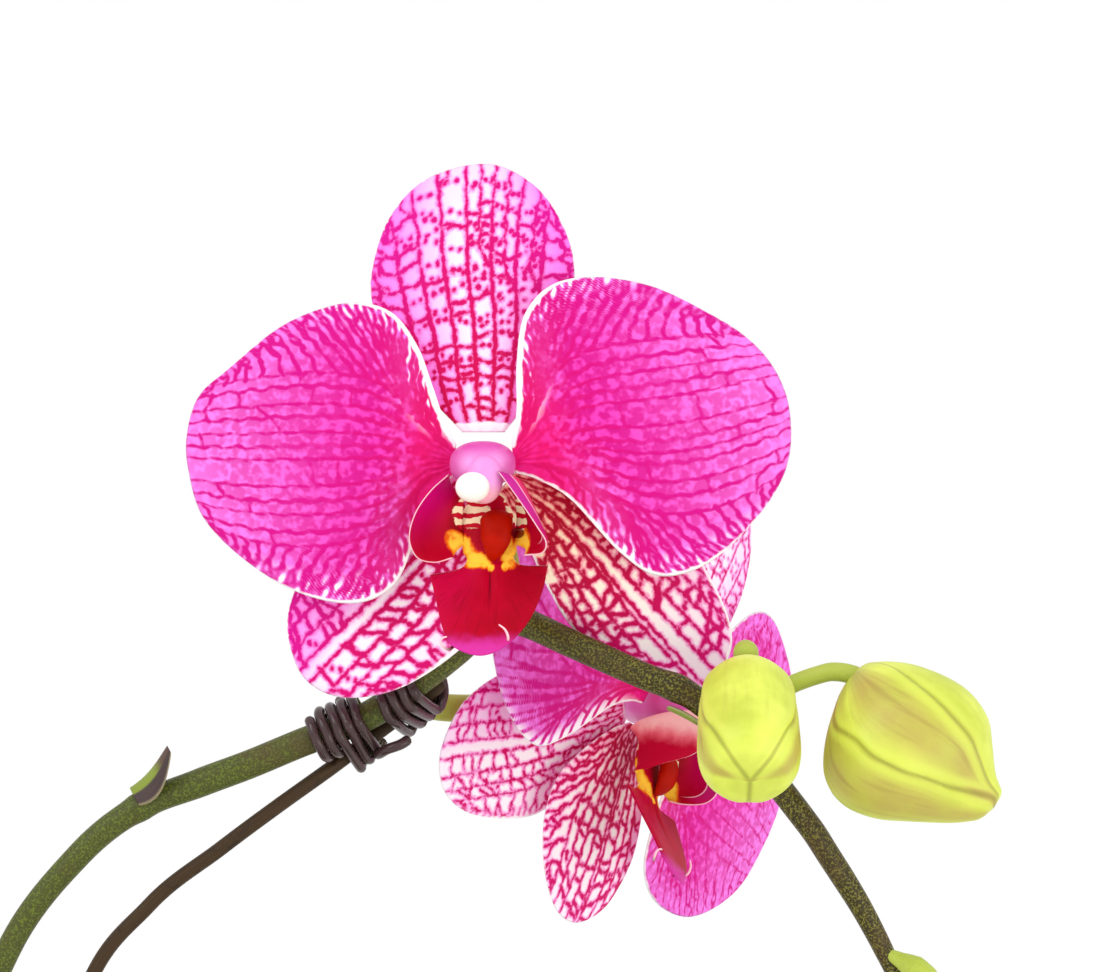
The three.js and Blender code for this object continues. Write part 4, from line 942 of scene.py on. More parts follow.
# What tepal_height takes: angle, length, half width, lift, swell, sweep, lean, cup, wave.
tepal_forms = {
    "flower_1": {
        "dorsal_sepal": (91, 45, 17, -2.4, 0.4, 0, 3.5, 1, 0.3),
        "petal_left": (179, 45, 24, 0.5, 3.4, 0, 2.5, 1.3, 0.5),
        "petal_right": (7, 46, 24, 0.5, 3.4, 0, 2.5, 1.3, -0.5),
        "lateral_sepal_left": (229, 45, 15, -2.4, 0.4, 0, 4, 1.4, 0.4),
        "lateral_sepal_right": (316, 49, 13, -2.6, 0, 0, 7.5, 1.6, 0.3)},
    "flower_2": {
        "dorsal_sepal": (85.3, 43.4, 17.7, -2.4, 0.4, -1.4, 2.35, 1, 0.3),
        "petal_left": (171.5, 43, 28.8, 0.5, 3.4, 9.1, 1.5, 1.3, 0.5),
        "petal_right": (-1.7, 50.1, 28.9, 0.5, 3.4, -0.4, 0, 1.3, -0.5),
        "lateral_sepal_left": (218, 48.2, 14.5, -3.5, 0.4, 14.5, -5.5, 1.4, 0.4),
        "lateral_sepal_right": (283.4, 39.2, 16.6, -2.4, 0.4, 1.2, 0.65, 1.4, 0.3)},
}
# The second flower's blades: outline, whether it is mirrored, midrib direction, and its stretch along and
# across the midrib.
second_cuts = {
    "dorsal_sepal": ("dorsal_sepal", False, 91, 0.96, 1.04),
    "petal_left": ("petal_right", True, 173, 0.96, 1.2),
    "petal_right": ("petal_left", True, 1, 1.09, 1.21),
    "lateral_sepal_left": ("lateral_sepal_left", False, 229, 1.07, 0.96),
    "lateral_sepal_right": ("lateral_sepal_left", True, 311, 0.87, 1.1),
}


def second_outline(part):
    """An outline of the second flower: one of the first flower's, mirrored or not, stretched along and
    across its midrib and turned to its new direction."""
    source, flip, angle, long, wide = second_cuts[part]
    x, y = np.array(outlines[source], float).T
    if flip:
        x, y = -x[::-1], y[::-1]
    (c, s), (nc, ns) = cos_sin(angle), cos_sin(tepal_forms["flower_2"][part][0])
    u = BASE_RADIUS + (x * c + y * s - BASE_RADIUS) * long
    v = (y * c - x * s) * wide
    return np.stack([u * nc - v * ns, u * ns + v * nc], 1)


def patch(outline, x, y):
    """A point inside an outline. Its sides follow the first and last SIDE_SHARE of the outline, its far
    edge the rest, and inside it the two pairs of sides are blended: the sum of both blends, less the
    blend of the four corners."""
    shares = np.linspace(0, 1, 1200)
    rim_line = curve(outline, shares)
    rim = lambda s: np.stack([np.interp(s, shares, rim_line[:, k]) for k in (0, 1)], -1)
    x, y = x[..., None], y[..., None]
    left, right = rim(SIDE_SHARE * y[..., 0]), rim(1 - SIDE_SHARE * y[..., 0])
    foot = rim_line[0] * (1 - x) + rim_line[-1] * x
    far = rim(SIDE_SHARE + FAR_SHARE * x[..., 0])
    corners = foot * (1 - y) + (rim(SIDE_SHARE) * (1 - x) + rim(1 - SIDE_SHARE) * x) * y
    return left * (1 - x) + right * x + foot * (1 - y) + far * y - corners


def tepal_height(p, angle, length, half, lift, swell, sweep, lean, cup, wave):
    """Height over the flower's plane from the share a of the length and the share b of the half width:
    lift + swell sin(pi a) - sweep a - lean a^2 - cup b^2 + wave b^3 sin(9 a)."""
    c, s = cos_sin(angle)
    a = np.clip((p[..., 0] * c + p[..., 1] * s - BASE_RADIUS) / length, 0, 1.1)
    b = np.clip((p[..., 0] * s - p[..., 1] * c) / half, -1.1, 1.1)
    return (lift + swell * np.sin(np.pi * np.minimum(a, 1)) - sweep * a - lean * a * a - cup * b * b
            + wave * b ** 3 * np.sin(9 * a))


# How the veins run and the colours lie. Lists run evenly from foot to tip, and pairs of lists go up one
# side and the other. centre is where the midvein lies across the blade, opening how far the fan of veins
# is closed, and lanes the places of the main veins in that fan, with none between the lanes of open.
# ends is the spacing of vein ends along the margin, thin how much wider it gets towards the foot, apart
# the least room between two veins, slant how far back the ribs leave the outermost main veins, rung the
# spacing of cross links, bars and dots the shares of them that are either, half the half widths of main
# veins, ribs and links, links the share of ribs that are linked, and waver how far main and other veins
# stray. border is the width of the white rim, slits the depth of the white cells behind it, foot the
# share of the blade that is white there, blush the pink of the ground across the blade, tip its pink
# towards the tip, and cream its cream. Lengths are in millimetres.
NO_GAP = (9, 9)
petal_plan = {
    "centre": (0.5, 0.51, 0.513, 0.53, 0.545, 0.55), "opening": (1.2, 1.05, 1, 0.95, 0.9, 0.8),
    "lanes": (-0.26, -0.165, -0.08, 0, 0.08, 0.165, 0.26), "open": NO_GAP, "ends": 1.1, "thin": 1.7,
    "apart": 1.3, "slant": 0.9, "rung": 1.9, "bars": (0, 0.05, 0.2), "dots": (0,), "links": 0.3,
    "waver": (0.12, 0.25), "half": (0.28, 0.4, 0.28), "blush": (1,), "tip": (1,), "cream": (0,),
}
vein_plans = {
    "dorsal_sepal": {
        "centre": (0.45, 0.46, 0.48, 0.482, 0.478, 0.48), "opening": (0.42, 0.7, 0.92, 1, 0.9, 0.62),
        "lanes": (-0.315, -0.21, -0.105, 0, 0.105, 0.215, 0.335), "open": NO_GAP, "ends": 1.35, "thin": 0.2,
        "apart": 1.8, "slant": 0.6, "rung": 1.4, "bars": (0.4, 0.4, 0.35, 0.2, 0.15, 0.08, 0),
        "dots": (0, 0.2, 0.45, 0.7, 0.7, 0.45, 0.1), "links": 0.5, "half": (0.38, 0.32, 0.31),
        "waver": (0.07, 0.25),
        "border": ((0, 0, 0), (0, 0, 0)), "slits": ((0, 0), (0, 0)), "foot": 0.045,
        "blush": (1, 0.95, 0.75, 0.5, 0.25, 0.3, 0.5, 0.75, 0.95, 1), "tip": (0.2, 0, 0, 0.1, 0.25, 0.45),
        "cream": (0.25, 0, 0, 0, 0, 0)},
    "petal_left": {**petal_plan, "ends": 1.05,
                   "border": ((0.6, 1.05, 0.9, 0.6, 0, 0, 0), (0.2, 0.3, 0.5, 0.7, 0.5, 0, 0)),
                   "slits": ((0, 4, 6, 5, 2.5, 0, 0), (0, 0, 3, 5, 4, 2, 0))},
    "petal_right": {**petal_plan,
                    "border": ((0.6, 1.1, 1.0, 0.7, 0, 0, 0), (0.4, 0.5, 0.6, 0.6, 0.6, 0.2, 0)),
                    "slits": ((0, 4, 6, 5, 2.5, 0, 0), (0, 0, 2, 4, 4, 2, 0))},
    "lateral_sepal_left": {
        "centre": (0.66, 0.56, 0.49, 0.46, 0.40), "opening": (0.9, 1, 1, 0.95, 0.8),
        "lanes": (-0.34, -0.25, -0.16, -0.075, 0, 0.1, 0.19, 0.28), "open": (-0.075, 0), "ends": 1.5,
        "thin": 0.3, "apart": 1.3, "slant": 0.9, "rung": 2.3, "bars": (0.8,), "dots": (0.1,), "links": 0.4,
        "half": (0.38, 0.36, 0.36), "waver": (0.15, 0.25),
        "border": ((0, 0, 0, 0, 0), (0.5, 1.0, 1.1, 0.8, 0)), "slits": ((0, 0), (0, 0)),
        "blush": (0.9, 0.9, 0.8, 0.7, 0, 0, 0, 0.15, 0.2, 0), "tip": (0, 0, 0, 0.1, 0.3),
        "cream": (0.3, 0, 0, 0, 0)},
    "lateral_sepal_right": {
        "centre": (0.5, 0.57, 0.61, 0.65, 0.7), "opening": (0.85, 1, 1, 0.95, 0.8),
        "lanes": (-0.36, -0.28, -0.2, -0.12, -0.035, 0, 0.1, 0.18, 0.26), "open": (-0.12, -0.035),
        "ends": 1.6, "thin": 1.2, "apart": 1.5, "slant": 1.1, "rung": 2.3, "bars": (0.75,),
        "dots": (0.15,), "links": 0.4, "half": (0.32, 0.32, 0.34), "waver": (0.15, 0.25),
        "border": ((0.2, 0.3, 0.5, 0.6, 0.4), (0.2, 0.4, 0.4, 0.3, 0)), "slits": ((0, 0), (0, 0)),
        "blush": (0.3, 0.3, 0.2, 0.1, 0, 0, 0, 0, 0.1, 0.2), "tip": (0, 0, 0, 0.1, 0.3),
        "cream": (1, 1, 0.6, 0.15, 0)},
}
# What differs in the second flower, whose veins stand further apart. boldness is how wide they are beside
# the first flower's, and grid the number of points each way over the blade.
turned_plans = {
    "petal_left": {"grid": 136, "ends": 1.7, "boldness": 0.9, "bars": (0,), "waver": (0.05, 0.06),
                   "slits": ((0, 2, 3.5, 3, 1.5, 0, 0), (0, 0, 1.5, 3, 2.5, 1.5, 0))},
    "petal_right": {"grid": 96, "ends": 1.8, "boldness": 0.8, "slits": ((0, 0), (0, 0))},
    "lateral_sepal_right": {"open": NO_GAP, "rung": 2.8, "boldness": 0.95, "border": ((0, 0), (0, 0))},
}
# The shares of line width, white rim, cream and blush that the second flower has of the first one's.
# The thinner lines and weaker blush are partly the second flower's paler colouring and partly painted light:
# they lighten its blades as light shining through them would.
SECOND_BOLDNESS = 0.52
SECOND_BORDER = 0.5
SECOND_CREAM = 0.4
SECOND_BLUSH = 0.4
# Rows of a blade run from 0 at its foot to 1 at its tip. A branch leaves its parent BRANCH_LEAD before it
# has its own lane, is no shorter than SHORTEST_BRANCH and keeps END_ROOM beyond its end free of others.
# Full width of line is reached where the blade is FULL_WIDTH mm wide, and no link is longer than
# WIDEST_CELL mm. Dots stand in pairs across a cell. No vein ends in the first and last BARE_RIM of the
# outline, beside the foot.
FIRST_ROW = 0.02
LAST_ROW = 0.97
LAST_LINK = 0.985
BRANCH_LEAD = 0.06
SHORTEST_BRANCH = 0.025
END_ROOM = 0.02
BARE_RIM = 0.035
RIM_PLACES = 400
FULL_WIDTH = 14
WIDEST_CELL = 7
DOT_PLACES = (0.31, 0.69)
DOT_LENGTH = 0.004


def vein_paths(outline, plan, seed, boldness):
    """The centre lines of the veins, each as its points, its half width at each point and whether it is
    a main vein. A vein keeps its lane: it runs along x = centre(y) + lane / opening(y), so that veins
    part from each other. Towards the tip, a branch starts where it has room enough, from the vein next
    to it. At the sides, ribs leave the outermost main vein and bend to meet the margin squarely, and
    every other one forks from the one before. Bars and dots stand between neighbouring veins at every
    rung."""
    draw = np.random.default_rng(seed)
    main_half, rib_half, link_half = np.array(plan["half"]) * boldness
    opening = lambda v: evenly(plan["opening"], v)
    centre = lambda v: evenly(plan["centre"], v)
    steps = np.linspace(FIRST_ROW, 1, 200)
    width = np.linalg.norm(patch(outline, steps * 0 + 1, steps) - patch(outline, steps * 0, steps), axis=1)
    size = lambda v: np.interp(v, steps, width) / opening(v)
    length = run_length(patch(outline, centre(steps), steps))[-1]
    girth = run_length(curve(outline, np.linspace(0, 1, 300)))[-1]
    level_of = lambda share: np.minimum(1, np.minimum(share, 1 - share) / SIDE_SHARE)
    rim_share = np.linspace(BARE_RIM, 1 - BARE_RIM, RIM_PLACES)
    spacing = plan["ends"] * (1 + plan["thin"] * np.clip(1 - level_of(rim_share) / 0.7, 0, 1))
    count = np.cumsum((1 - 2 * BARE_RIM) / RIM_PLACES * girth / spacing)
    share = np.interp(np.arange(1, int(count[-1])), count, rim_share)
    share = share + draw.uniform(-0.2, 0.2, len(share)) * plan["ends"] / girth
    end_x = np.clip((share - SIDE_SHARE) / FAR_SHARE, 0, 1)
    end_y = level_of(share)
    lanes = (end_x - centre(end_y)) * opening(end_y)
    lines = []
    for lane in plan["lanes"]:
        inside = steps[np.abs(centre(steps) + lane / opening(steps) - 0.5) < 0.5]
        lines.append({"lane": lane, "from": inside.min(), "to": inside.max(), "parent": lane, "main": True})
    for k in draw.permutation(len(share)):
        lane, stop = lanes[k], end_y[k]
        if not plan["lanes"][0] < lane < plan["lanes"][-1] or plan["open"][0] < lane < plan["open"][1]:
            continue
        rows = steps[steps <= stop]
        room = np.full(len(rows), 9.0)
        for line in lines:
            near = np.abs(lane - line["lane"]) * size(rows)
            beside = (rows > line["from"]) & (rows < line["to"] + END_ROOM)
            room = np.where(beside, np.minimum(room, near), room)
        tight = rows[room < plan["apart"]]
        start = tight.max() if len(tight) else FIRST_ROW
        if stop - start < SHORTEST_BRANCH:
            continue
        beside = [line for line in lines if line["from"] < start < line["to"] + END_ROOM]
        parent = min(beside, key=lambda line: abs(line["lane"] - lane))["lane"] if beside else lane
        lines.append({"lane": lane, "from": start, "to": stop, "parent": parent, "main": False})
    paths = []

    def add_path(points, half, main=False):
        run = run_length(points)
        phase = draw.uniform(0, 6.3, 2)
        stray = plan["waver"][0 if main else 1]
        points = points + stray * np.stack([np.sin(run * 1.9 + phase[0]), np.sin(run * 1.6 + phase[1])], 1)
        paths.append((points, np.broadcast_to(half, run.shape), main))

    def place(column, row):
        return patch(outline, np.clip(column, 0, 1), np.clip(row, 0, 1))

    def column_of(line, row):
        merge = np.clip((row - line["from"] + BRANCH_LEAD) / 0.1, 0, 1)
        lane = line["parent"] + (line["lane"] - line["parent"]) * merge * merge * (3 - 2 * merge)
        return centre(row) + lane / opening(row)

    for line in lines:
        count = max(6, int(60 * (line["to"] - line["from"])))
        row = np.linspace(max(FIRST_ROW, line["from"] - BRANCH_LEAD), line["to"], count)
        half = (main_half if line["main"] else rib_half) * np.clip(size(row) / FULL_WIDTH, 0.3, 1)
        half = half * np.interp(row, [0, 0.3, 0.6, 1], [0.7, 1, 0.95, 0.55])
        add_path(place(column_of(line, row), row), half, line["main"])
    ends = curve(outline, share)
    along = unit(curve(outline, np.minimum(share + 0.002, 1)) - curve(outline, np.maximum(share - 0.002, 0)))
    back = along * np.where(share < 0.5, -1, 1)[:, None]
    square = np.stack([along[:, 1], -along[:, 0]], 1)
    square = square * np.sign(np.sum((place(0.5, 0.5) - ends) * square, 1))[:, None]
    inward = unit(square + back * np.interp(end_y, [0.2, 0.7], [1.1, 0.25])[:, None])
    bend = np.linspace(0, 1, 14)[:, None]
    last = None
    for k in np.argsort(share):
        lane, stop = lanes[k], end_y[k]
        parent = plan["lanes"][0] if lane < plan["lanes"][0] else plan["lanes"][-1]
        if plan["lanes"][0] < lane < plan["lanes"][-1]:
            last = None
            continue
        if k % 2 and last is not None:
            start = last[6]
        else:
            row = max(FIRST_ROW, stop - plan["slant"] * abs(lane - parent) * size(stop) / length)
            start = place(centre(row) + parent / opening(row), row)
        turn = ends[k] + inward[k] * 0.5 * np.linalg.norm(ends[k] - start)
        rib = (1 - bend) ** 2 * start + 2 * bend * (1 - bend) * turn + bend ** 2 * ends[k]
        add_path(rib, rib_half * (1 - 0.3 * bend[:, 0]))
        if last is not None and draw.uniform() < plan["links"]:
            spot = draw.integers(7, 12)
            add_path(last[spot] + (rib[spot] - last[spot]) * bend[::3], link_half)
        last = rib
    rung = plan["rung"] / length
    for row in np.arange(rung, LAST_ROW, rung):
        active = [line for line in lines if line["from"] < row < line["to"]]
        active.sort(key=lambda line: line["lane"])
        for j, (left, right) in enumerate(zip(active[:-1], active[1:])):
            gap = (right["lane"] - left["lane"]) * size(row)
            level = row + ((j % 2) * 0.5 + draw.uniform(-0.35, 0.35)) * rung
            tilt = draw.uniform(-0.6, 0.6) * rung
            chance = draw.uniform()
            if gap < 0.6 * plan["apart"] or gap > WIDEST_CELL or level > LAST_LINK:
                continue
            if plan["open"][0] <= left["lane"] and right["lane"] <= plan["open"][1]:
                continue
            bars, dots = evenly(plan["bars"], row), evenly(plan["dots"], row)
            if chance < bars:
                across = np.linspace(0, 1, 5)
                sides = [column_of(line, level) for line in (left, right)]
                add_path(place(sides[0] + (sides[1] - sides[0]) * across, level + tilt * across), link_half)
            elif chance < bars + dots:
                ends_of_dot = np.array([0, DOT_LENGTH])
                for spot in DOT_PLACES:
                    high = level + draw.uniform(-0.3, 0.3) * rung
                    column = column_of(left, high) + (column_of(right, high) - column_of(left, high)) * spot
                    add_path(place(column + ends_of_dot, high + ends_of_dot),
                             link_half + draw.uniform(-0.03, 0.12))
    return paths


def distance_field(points, paths, reach=3.0, block_size=16):
    """For each point of a grid, the least value of its distance to a vein's centre line less the vein's
    half width there, no more than reach. The grid is worked through in blocks of near points, each with
    the stretches of vein that come near it."""
    start = np.vstack([path[0][:-1] for path in paths]).astype(np.float32)
    end = np.vstack([path[0][1:] for path in paths]).astype(np.float32)
    half = [np.concatenate([path[1][cut] for path in paths]).astype(np.float32)
            for cut in (slice(None, -1), slice(1, None))]
    step = end - start
    size = np.maximum((step ** 2).sum(1), 1e-9)
    field = np.full(points.shape[:2], reach)
    for rows in np.array_split(np.arange(points.shape[0]), points.shape[0] // block_size):
        for columns in np.array_split(np.arange(points.shape[1]), points.shape[1] // block_size):
            here = np.ix_(rows, columns)
            block = points[here].reshape(-1, 2).astype(np.float32)
            low, high = block.min(0) - reach, block.max(0) + reach
            near = np.all((np.maximum(start, end) > low) & (np.minimum(start, end) < high), axis=1)
            if not near.any():
                continue
            gap = block[:, None] - start[None, near]
            share = np.clip((gap * step[near]).sum(2) / size[near], 0, 1)
            gap = np.linalg.norm(gap - share[..., None] * step[near], axis=2)
            gap = gap - (half[0][near] * (1 - share) + half[1][near] * share)
            field[here] = gap.min(1).reshape(len(rows), len(columns))
    return np.minimum(field, reach)


def tepal(flower, part, count):
    """A blade on a grid over its outline, raised to its height, with a thickness that runs out at its
    rim, and with the fields that its veins are painted from, in millimetres: vein and main, from the
    edge of the nearest vein and main vein, and rim, from the margin."""
    outline = np.array(outlines[part], float) if flower == "flower_1" else second_outline(part)
    plan, boldness, shares = vein_plans[part], 1, (1, 1, 1)
    if flower == "flower_2":
        plan = {**plan, **turned_plans.get(part, {})}
        boldness = plan.get("boldness", SECOND_BOLDNESS)
        shares = SECOND_BORDER, SECOND_CREAM, SECOND_BLUSH
    count = plan.get("grid", count)
    y, x = grid(count, count)
    flat = patch(outline, x, y)
    paths = vein_paths(outline, plan, len(part) + 31 * int(flower[-1]), boldness)
    vein = distance_field(flat, paths)
    main = distance_field(flat, [path for path in paths if path[2]])
    edge = curve(outline, np.linspace(0, 1, 260))
    rim = distance_field(flat, [(edge, np.zeros(260), True)], reach=20.0)
    height = tepal_height(flat, *tepal_forms[flower][part])
    half = TEPAL_THICKNESS / 2 * np.sqrt(np.clip(rim / TEPAL_EDGE, 0.02, 1))
    ridge = RIDGE * np.exp(-np.clip(main, 0, 3) / 0.4)
    front, back = [seated(np.dstack([flat, face]), **flower_seats[flower])
                   for face in (height + half + ridge, height - half)]
    border, slits = [np.where(x < 0.5, evenly(left, y), evenly(right, y))
                     for left, right in (plan["border"], plan["slits"])]
    border = np.minimum(rim - border * shares[0], (y - plan.get("foot", -1)) * 40)
    blush = np.maximum(evenly(plan["blush"], x), evenly(plan["tip"], y))
    return sheet(front, back, along=y, vein=vein, main=main, rim=rim, border=border, slit=rim - slits,
                 cream=evenly(plan["cream"], y) * shares[1], blush=blush * shares[2])


def finish_blade(skin, vein, wobble, back):
    """What sepals and petals share: the white rim, the paler back and the relief of the veins."""
    skin.coat(skin.step(skin.sum(skin.field("border"), wobble), -0.25, 0.15, 1, 0), tone(255, 248, 252))
    skin.coat(skin.times(skin.field("under"), 0.35), back)
    skin.wear(height=skin.step(vein, -0.3, 0.5, 1, 0), depth=0.0003, strength=0.3)


petal = Finish("petal_skin", Roughness=0.6, Specular_IOR_Level=0.12)
along, rim, vein = [petal.field(name) for name in ("along", "rim", "vein")]
wobble = petal.wobble(700, 1, 0.55)
flush = petal.mix(petal.step(along, 0.08, 0.42), tone(234, 34, 138), tone(232, 58, 178))
margin = petal.times(petal.step(rim, 1, 11, 1, 0), petal.step(along, 0.15, 0.45))
outer = petal.most(petal.step(along, 0.42, 0.95), margin)
flush = petal.mix(outer, flush, tone(242, 124, 230))
blotch = petal.step(petal.noise(760, 1), 0.34, 0.6)
blotch = petal.times(blotch, petal.step(rim, 1, 8, 0.5, 1))
blotch = petal.times(blotch, petal.step(along, 0.35, 0.75, 1, 0.6))
stain = petal.mix(petal.step(along, 0.1, 0.5), tone(222, 2, 100), tone(204, 12, 132))
ground = petal.mix(blotch, flush, stain)
whiten = petal.times(petal.step(petal.field("slit"), -2.5, 0.5, 1, 0), petal.step(vein, 0.03, 0.28))
ground = petal.mix(whiten, ground, tone(255, 244, 252))
edge = petal.sum(vein, wobble)
thread = petal.times(petal.step(rim, 9, 20, 1, 0.7), petal.step(along, 0.18, 0.5, 0.15, 1))
thread = petal.most(thread, petal.step(rim, 2.5, 7, 0.85, 0))
thread = petal.times(thread, petal.step(edge, -0.18, 0.18, 1, 0))
edge = petal.sum(petal.field("main"), wobble)
cord = petal.times(petal.step(edge, -0.15, 0.2, 1, 0), petal.step(along, 0.2, 0.45, 0.15, 1))
dark = petal.mix(petal.step(along, 0.15, 0.7), tone(208, 0, 92), tone(206, 8, 134))
petal.colour = petal.mix(petal.most(thread, cord), ground, dark)
finish_blade(petal, vein, wobble, tone(244, 150, 214))

sepal = Finish("sepal_skin", Roughness=0.6, Specular_IOR_Level=0.12)
vein, blush, cream, along = [sepal.field(name) for name in ("vein", "blush", "cream", "along")]
wobble = sepal.wobble(1000, 3, 1.0)
edge = sepal.sum(vein, wobble)
ground = sepal.mix(blush, tone(255, 248, 252), tone(246, 124, 232))
ground = sepal.mix(cream, ground, tone(252, 240, 196))
halo = sepal.mix(cream, tone(248, 104, 204), tone(236, 84, 112))
ground = sepal.mix(sepal.step(edge, 0, 0.65, 0.85, 0), ground, halo)
dark = sepal.mix(blush, tone(208, 0, 96), tone(210, 14, 144))
dark = sepal.mix(sepal.step(along, 0.9, 0.1), dark, tone(200, 0, 76))
dark = sepal.mix(cream, dark, tone(172, 0, 40))
sepal.colour = sepal.mix(sepal.step(edge, -0.15, 0.18, 1, 0), ground, dark)
finish_blade(sepal, vein, wobble, tone(246, 190, 222))
for flower, count in (("flower_1", 132), ("flower_2", 102)):
    for part in outlines:
        slot = "petal" if part.startswith("petal") else "sepal"
        finish = petal if slot == "petal" else sepal
        make_piece(f"{flower}_{part}_blade", [tepal(flower, part, count)], finish, f"{flower}_{part}")


# Lip: the third petal, waxy and deep red. Two side lobes stand up beside the column, a fleshy crest lies
# between them, and the middle lobe is shaped like the blade of a trowel with two fine tendrils.
LIP_THICKNESS = 0.7
LEFT_LOBE, RIGHT_LOBE, MIDDLE_LOBE, CLAW, CREST = 0.0, 1.0, 2.0, 3.0, 4.0
lip_one = {
    "left_inner": [[-3.2, -6.4, 4.6], [-3.4, -10, 3.6], [-3.2, -13.6, 4]],
    "left_outer": [[-5.6, -2, 6], [-8.6, -4.8, 8.5], [-11, -8.4, 9.8], [-12, -12.4, 10], [-10.8, -15.6, 9.2],
                   [-8, -16.5, 7.6], [-5, -15.8, 5.6]],
    "left_swell": (-0.6, 0, -1.6),
    "right_inner": [[5.2, -6.4, 4.6], [5.4, -10, 3.6], [4.8, -13.6, 4]],
    "right_outer": [[2.4, -1.5, 11.6], [4.4, -4.2, 12.6], [6.8, -7.6, 12.4], [8.8, -10.6, 11.6],
                    [10.3, -13.2, 10], [9.6, -15, 8], [6.6, -15.4, 5.8]],
    "right_swell": (2.6, 0.6, -0.6),
    "claw": [[0.2, -5, 1.4], [0.5, -8, 2], [0.9, -12, 3], [1.1, -15.5, 4.6], [1.1, -18, 5.8]],
    "crest": [[2, -8.2, 4.6], [2.2, -10.5, 6.4], [2, -13.4, 6.8], [1.4, -16.4, 6.2]],
    "mid_left": [[-2.4, -15, 4.4], [-3.6, -17.4, 4.8], [-8.7, -18.5, 6]],
    "mid_far": [[-8.7, -18.5, 6], [-7.6, -22.5, 9], [-6.4, -26.9, 12.6], [-4.6, -29.8, 14.8],
                [-0.2, -31.2, 15.8], [4, -29.6, 14.8], [7.6, -25.7, 12.2], [9.7, -21.1, 9], [10.6, -17, 6.4]],
    "mid_right": [[4.6, -15, 4.4], [6, -16.8, 4.9], [10.6, -17, 6.4]],
}
lip_two = {
    **lip_one,
    "left_inner": [[-3.4, -7.4, 2.2], [-3.8, -11, 2.8], [-3.4, -14.8, 4.2]],
    "left_outer": [[-5.2, -5.4, 4], [-7, -4.2, 6.6], [-8.2, -3.3, 10], [-8.6, -2.9, 14.2], [-8.4, -5.2, 17.4],
                   [-8, -8.4, 17.6], [-7.2, -10.6, 15.4], [-6.4, -12.4, 11], [-5.4, -14.2, 6.6]],
    "left_swell": (-1.6, -0.8, -2.4),
    "right_outer": [[4.6, -3, 10.4], [7.2, -4.6, 11.4], [9, -7.5, 12.4], [9.2, -10.6, 13.4],
                    [8.8, -13.2, 12.2], [7.8, -14.6, 9], [6.8, -15, 6]],
}


# Soft ovals of colour in the flower's own frame: middle, half width, half height and turn.
lip_marks = {
    "gold": [(-3.4, -14.4, 2.8, 1.4, -50), (-0.9, -16.1, 1.6, 1, -20), (6.2, -13.8, 1, 2.3, -10),
             (4.2, -14.9, 1, 2.2, 8), (1.3, -17.3, 0.45, 0.5, 0), (3.6, -17.2, 0.5, 0.6, 0)],
    "cream": [(-1.9, -8.5, 2.4, 2.2, 0), (5.2, -8, 1.1, 2.9, 20)],
    # The last list is painted shade: a dark spot in the gap between the crest and the right side lobe.
    "gap_shade": [(5.6, -11.7, 0.9, 0.7, 0)],
}
tendrils = [
    [[3.2, -29.4, 14.6], [4, -29.2, 15.9], [4.2, -28.2, 16.8], [3.7, -27, 17.1], [2.7, -26.2, 17.1]],
    [[-4.4, -29.6, 14.4], [-5.3, -30.3, 15], [-6.3, -29.8, 15.5], [-6.7, -29, 15.8], [-6.3, -28.4, 16],
     [-5.6, -28.2, 16]],
]


def thickened(middle, thickness, **fields):
    """A sheet round a middle surface: both faces stand off along its normal, and meet at the rim."""
    normal = unit(np.cross(np.gradient(middle, axis=1), np.gradient(middle, axis=0)) + 1e-9)
    rows, columns = middle.shape[:2]
    j, i = np.meshgrid(np.arange(rows), np.arange(columns), indexing="ij")
    from_edge = np.minimum(np.minimum(i, columns - 1 - i), np.minimum(j, rows - 1 - j))
    half = (thickness / 2 * np.sqrt(np.clip(from_edge / 8, 0, 1)))[..., None] * normal
    return sheet(middle + half, middle - half, **fields)


def side_lobe(inner, outer, swell, kind):
    """A surface ruled from an inner edge to an outer edge and swollen sideways between them."""
    y, x = grid(76, 48)
    start, end = [curve(line, y[:, 0])[:, None] for line in (inner, outer)]
    bulge = (np.sin(np.pi * x) * (1 - 0.6 * y))[..., None] * swell
    middle = start + (end - start) * x[..., None] + bulge
    rim = np.linalg.norm(middle - middle[:, -1:], axis=2)
    return thickened(middle, LIP_THICKNESS, along=y, across=x, rim=rim, kind=kind)


def middle_lobe(shape):
    """A trowel blade: a surface blended from its neck, its two shoulders and its far edge, raised along
    its middle and with a groove down from the neck."""
    y, x = grid(84, 84)
    steps = x[0]
    left, far, right = [curve(shape[name], steps) for name in ("mid_left", "mid_far", "mid_right")]
    neck = left[:1] + (right[:1] - left[:1]) * steps[:, None]
    last = left[-1:] + (right[-1:] - left[-1:]) * steps[:, None]
    x3, y3 = x[..., None], y[..., None]
    middle = (left[:, None] * (1 - x3) + right[:, None] * x3 + neck[None] * (1 - y3) + far[None] * y3
              - neck[None] * (1 - y3) - last[None] * y3)
    middle[..., 2] += 2.4 * np.sin(np.pi * x) * np.sin(np.pi * y / 1.6)
    middle[..., 2] -= 0.8 * np.exp(-((x - 0.5) / 0.05) ** 2) * np.clip(1 - y / 0.55, 0, 1)
    edge = np.vstack([left, far, right])
    rim = np.linalg.norm(middle[:, :, None] - edge[None, None, ::4], axis=3).min(2)
    return thickened(middle, LIP_THICKNESS, along=y, across=x, rim=rim, kind=MIDDLE_LOBE)


def fleshy(path, shares, high, wide, kind):
    """A flattened body along a path, high by wide in half sizes."""
    t = np.linspace(0, 1, 40)
    a = circle(28)
    share = (evenly(shares, t) * blunt(np.minimum(t, 1 - t), 0.1))[:, None]
    return round_body(curve(path, t), high * share * np.cos(a), wide * share * np.sin(a), RIGHT,
                      along=t[:, None], across=0.5, rim=5.0, kind=kind, under=0.0)


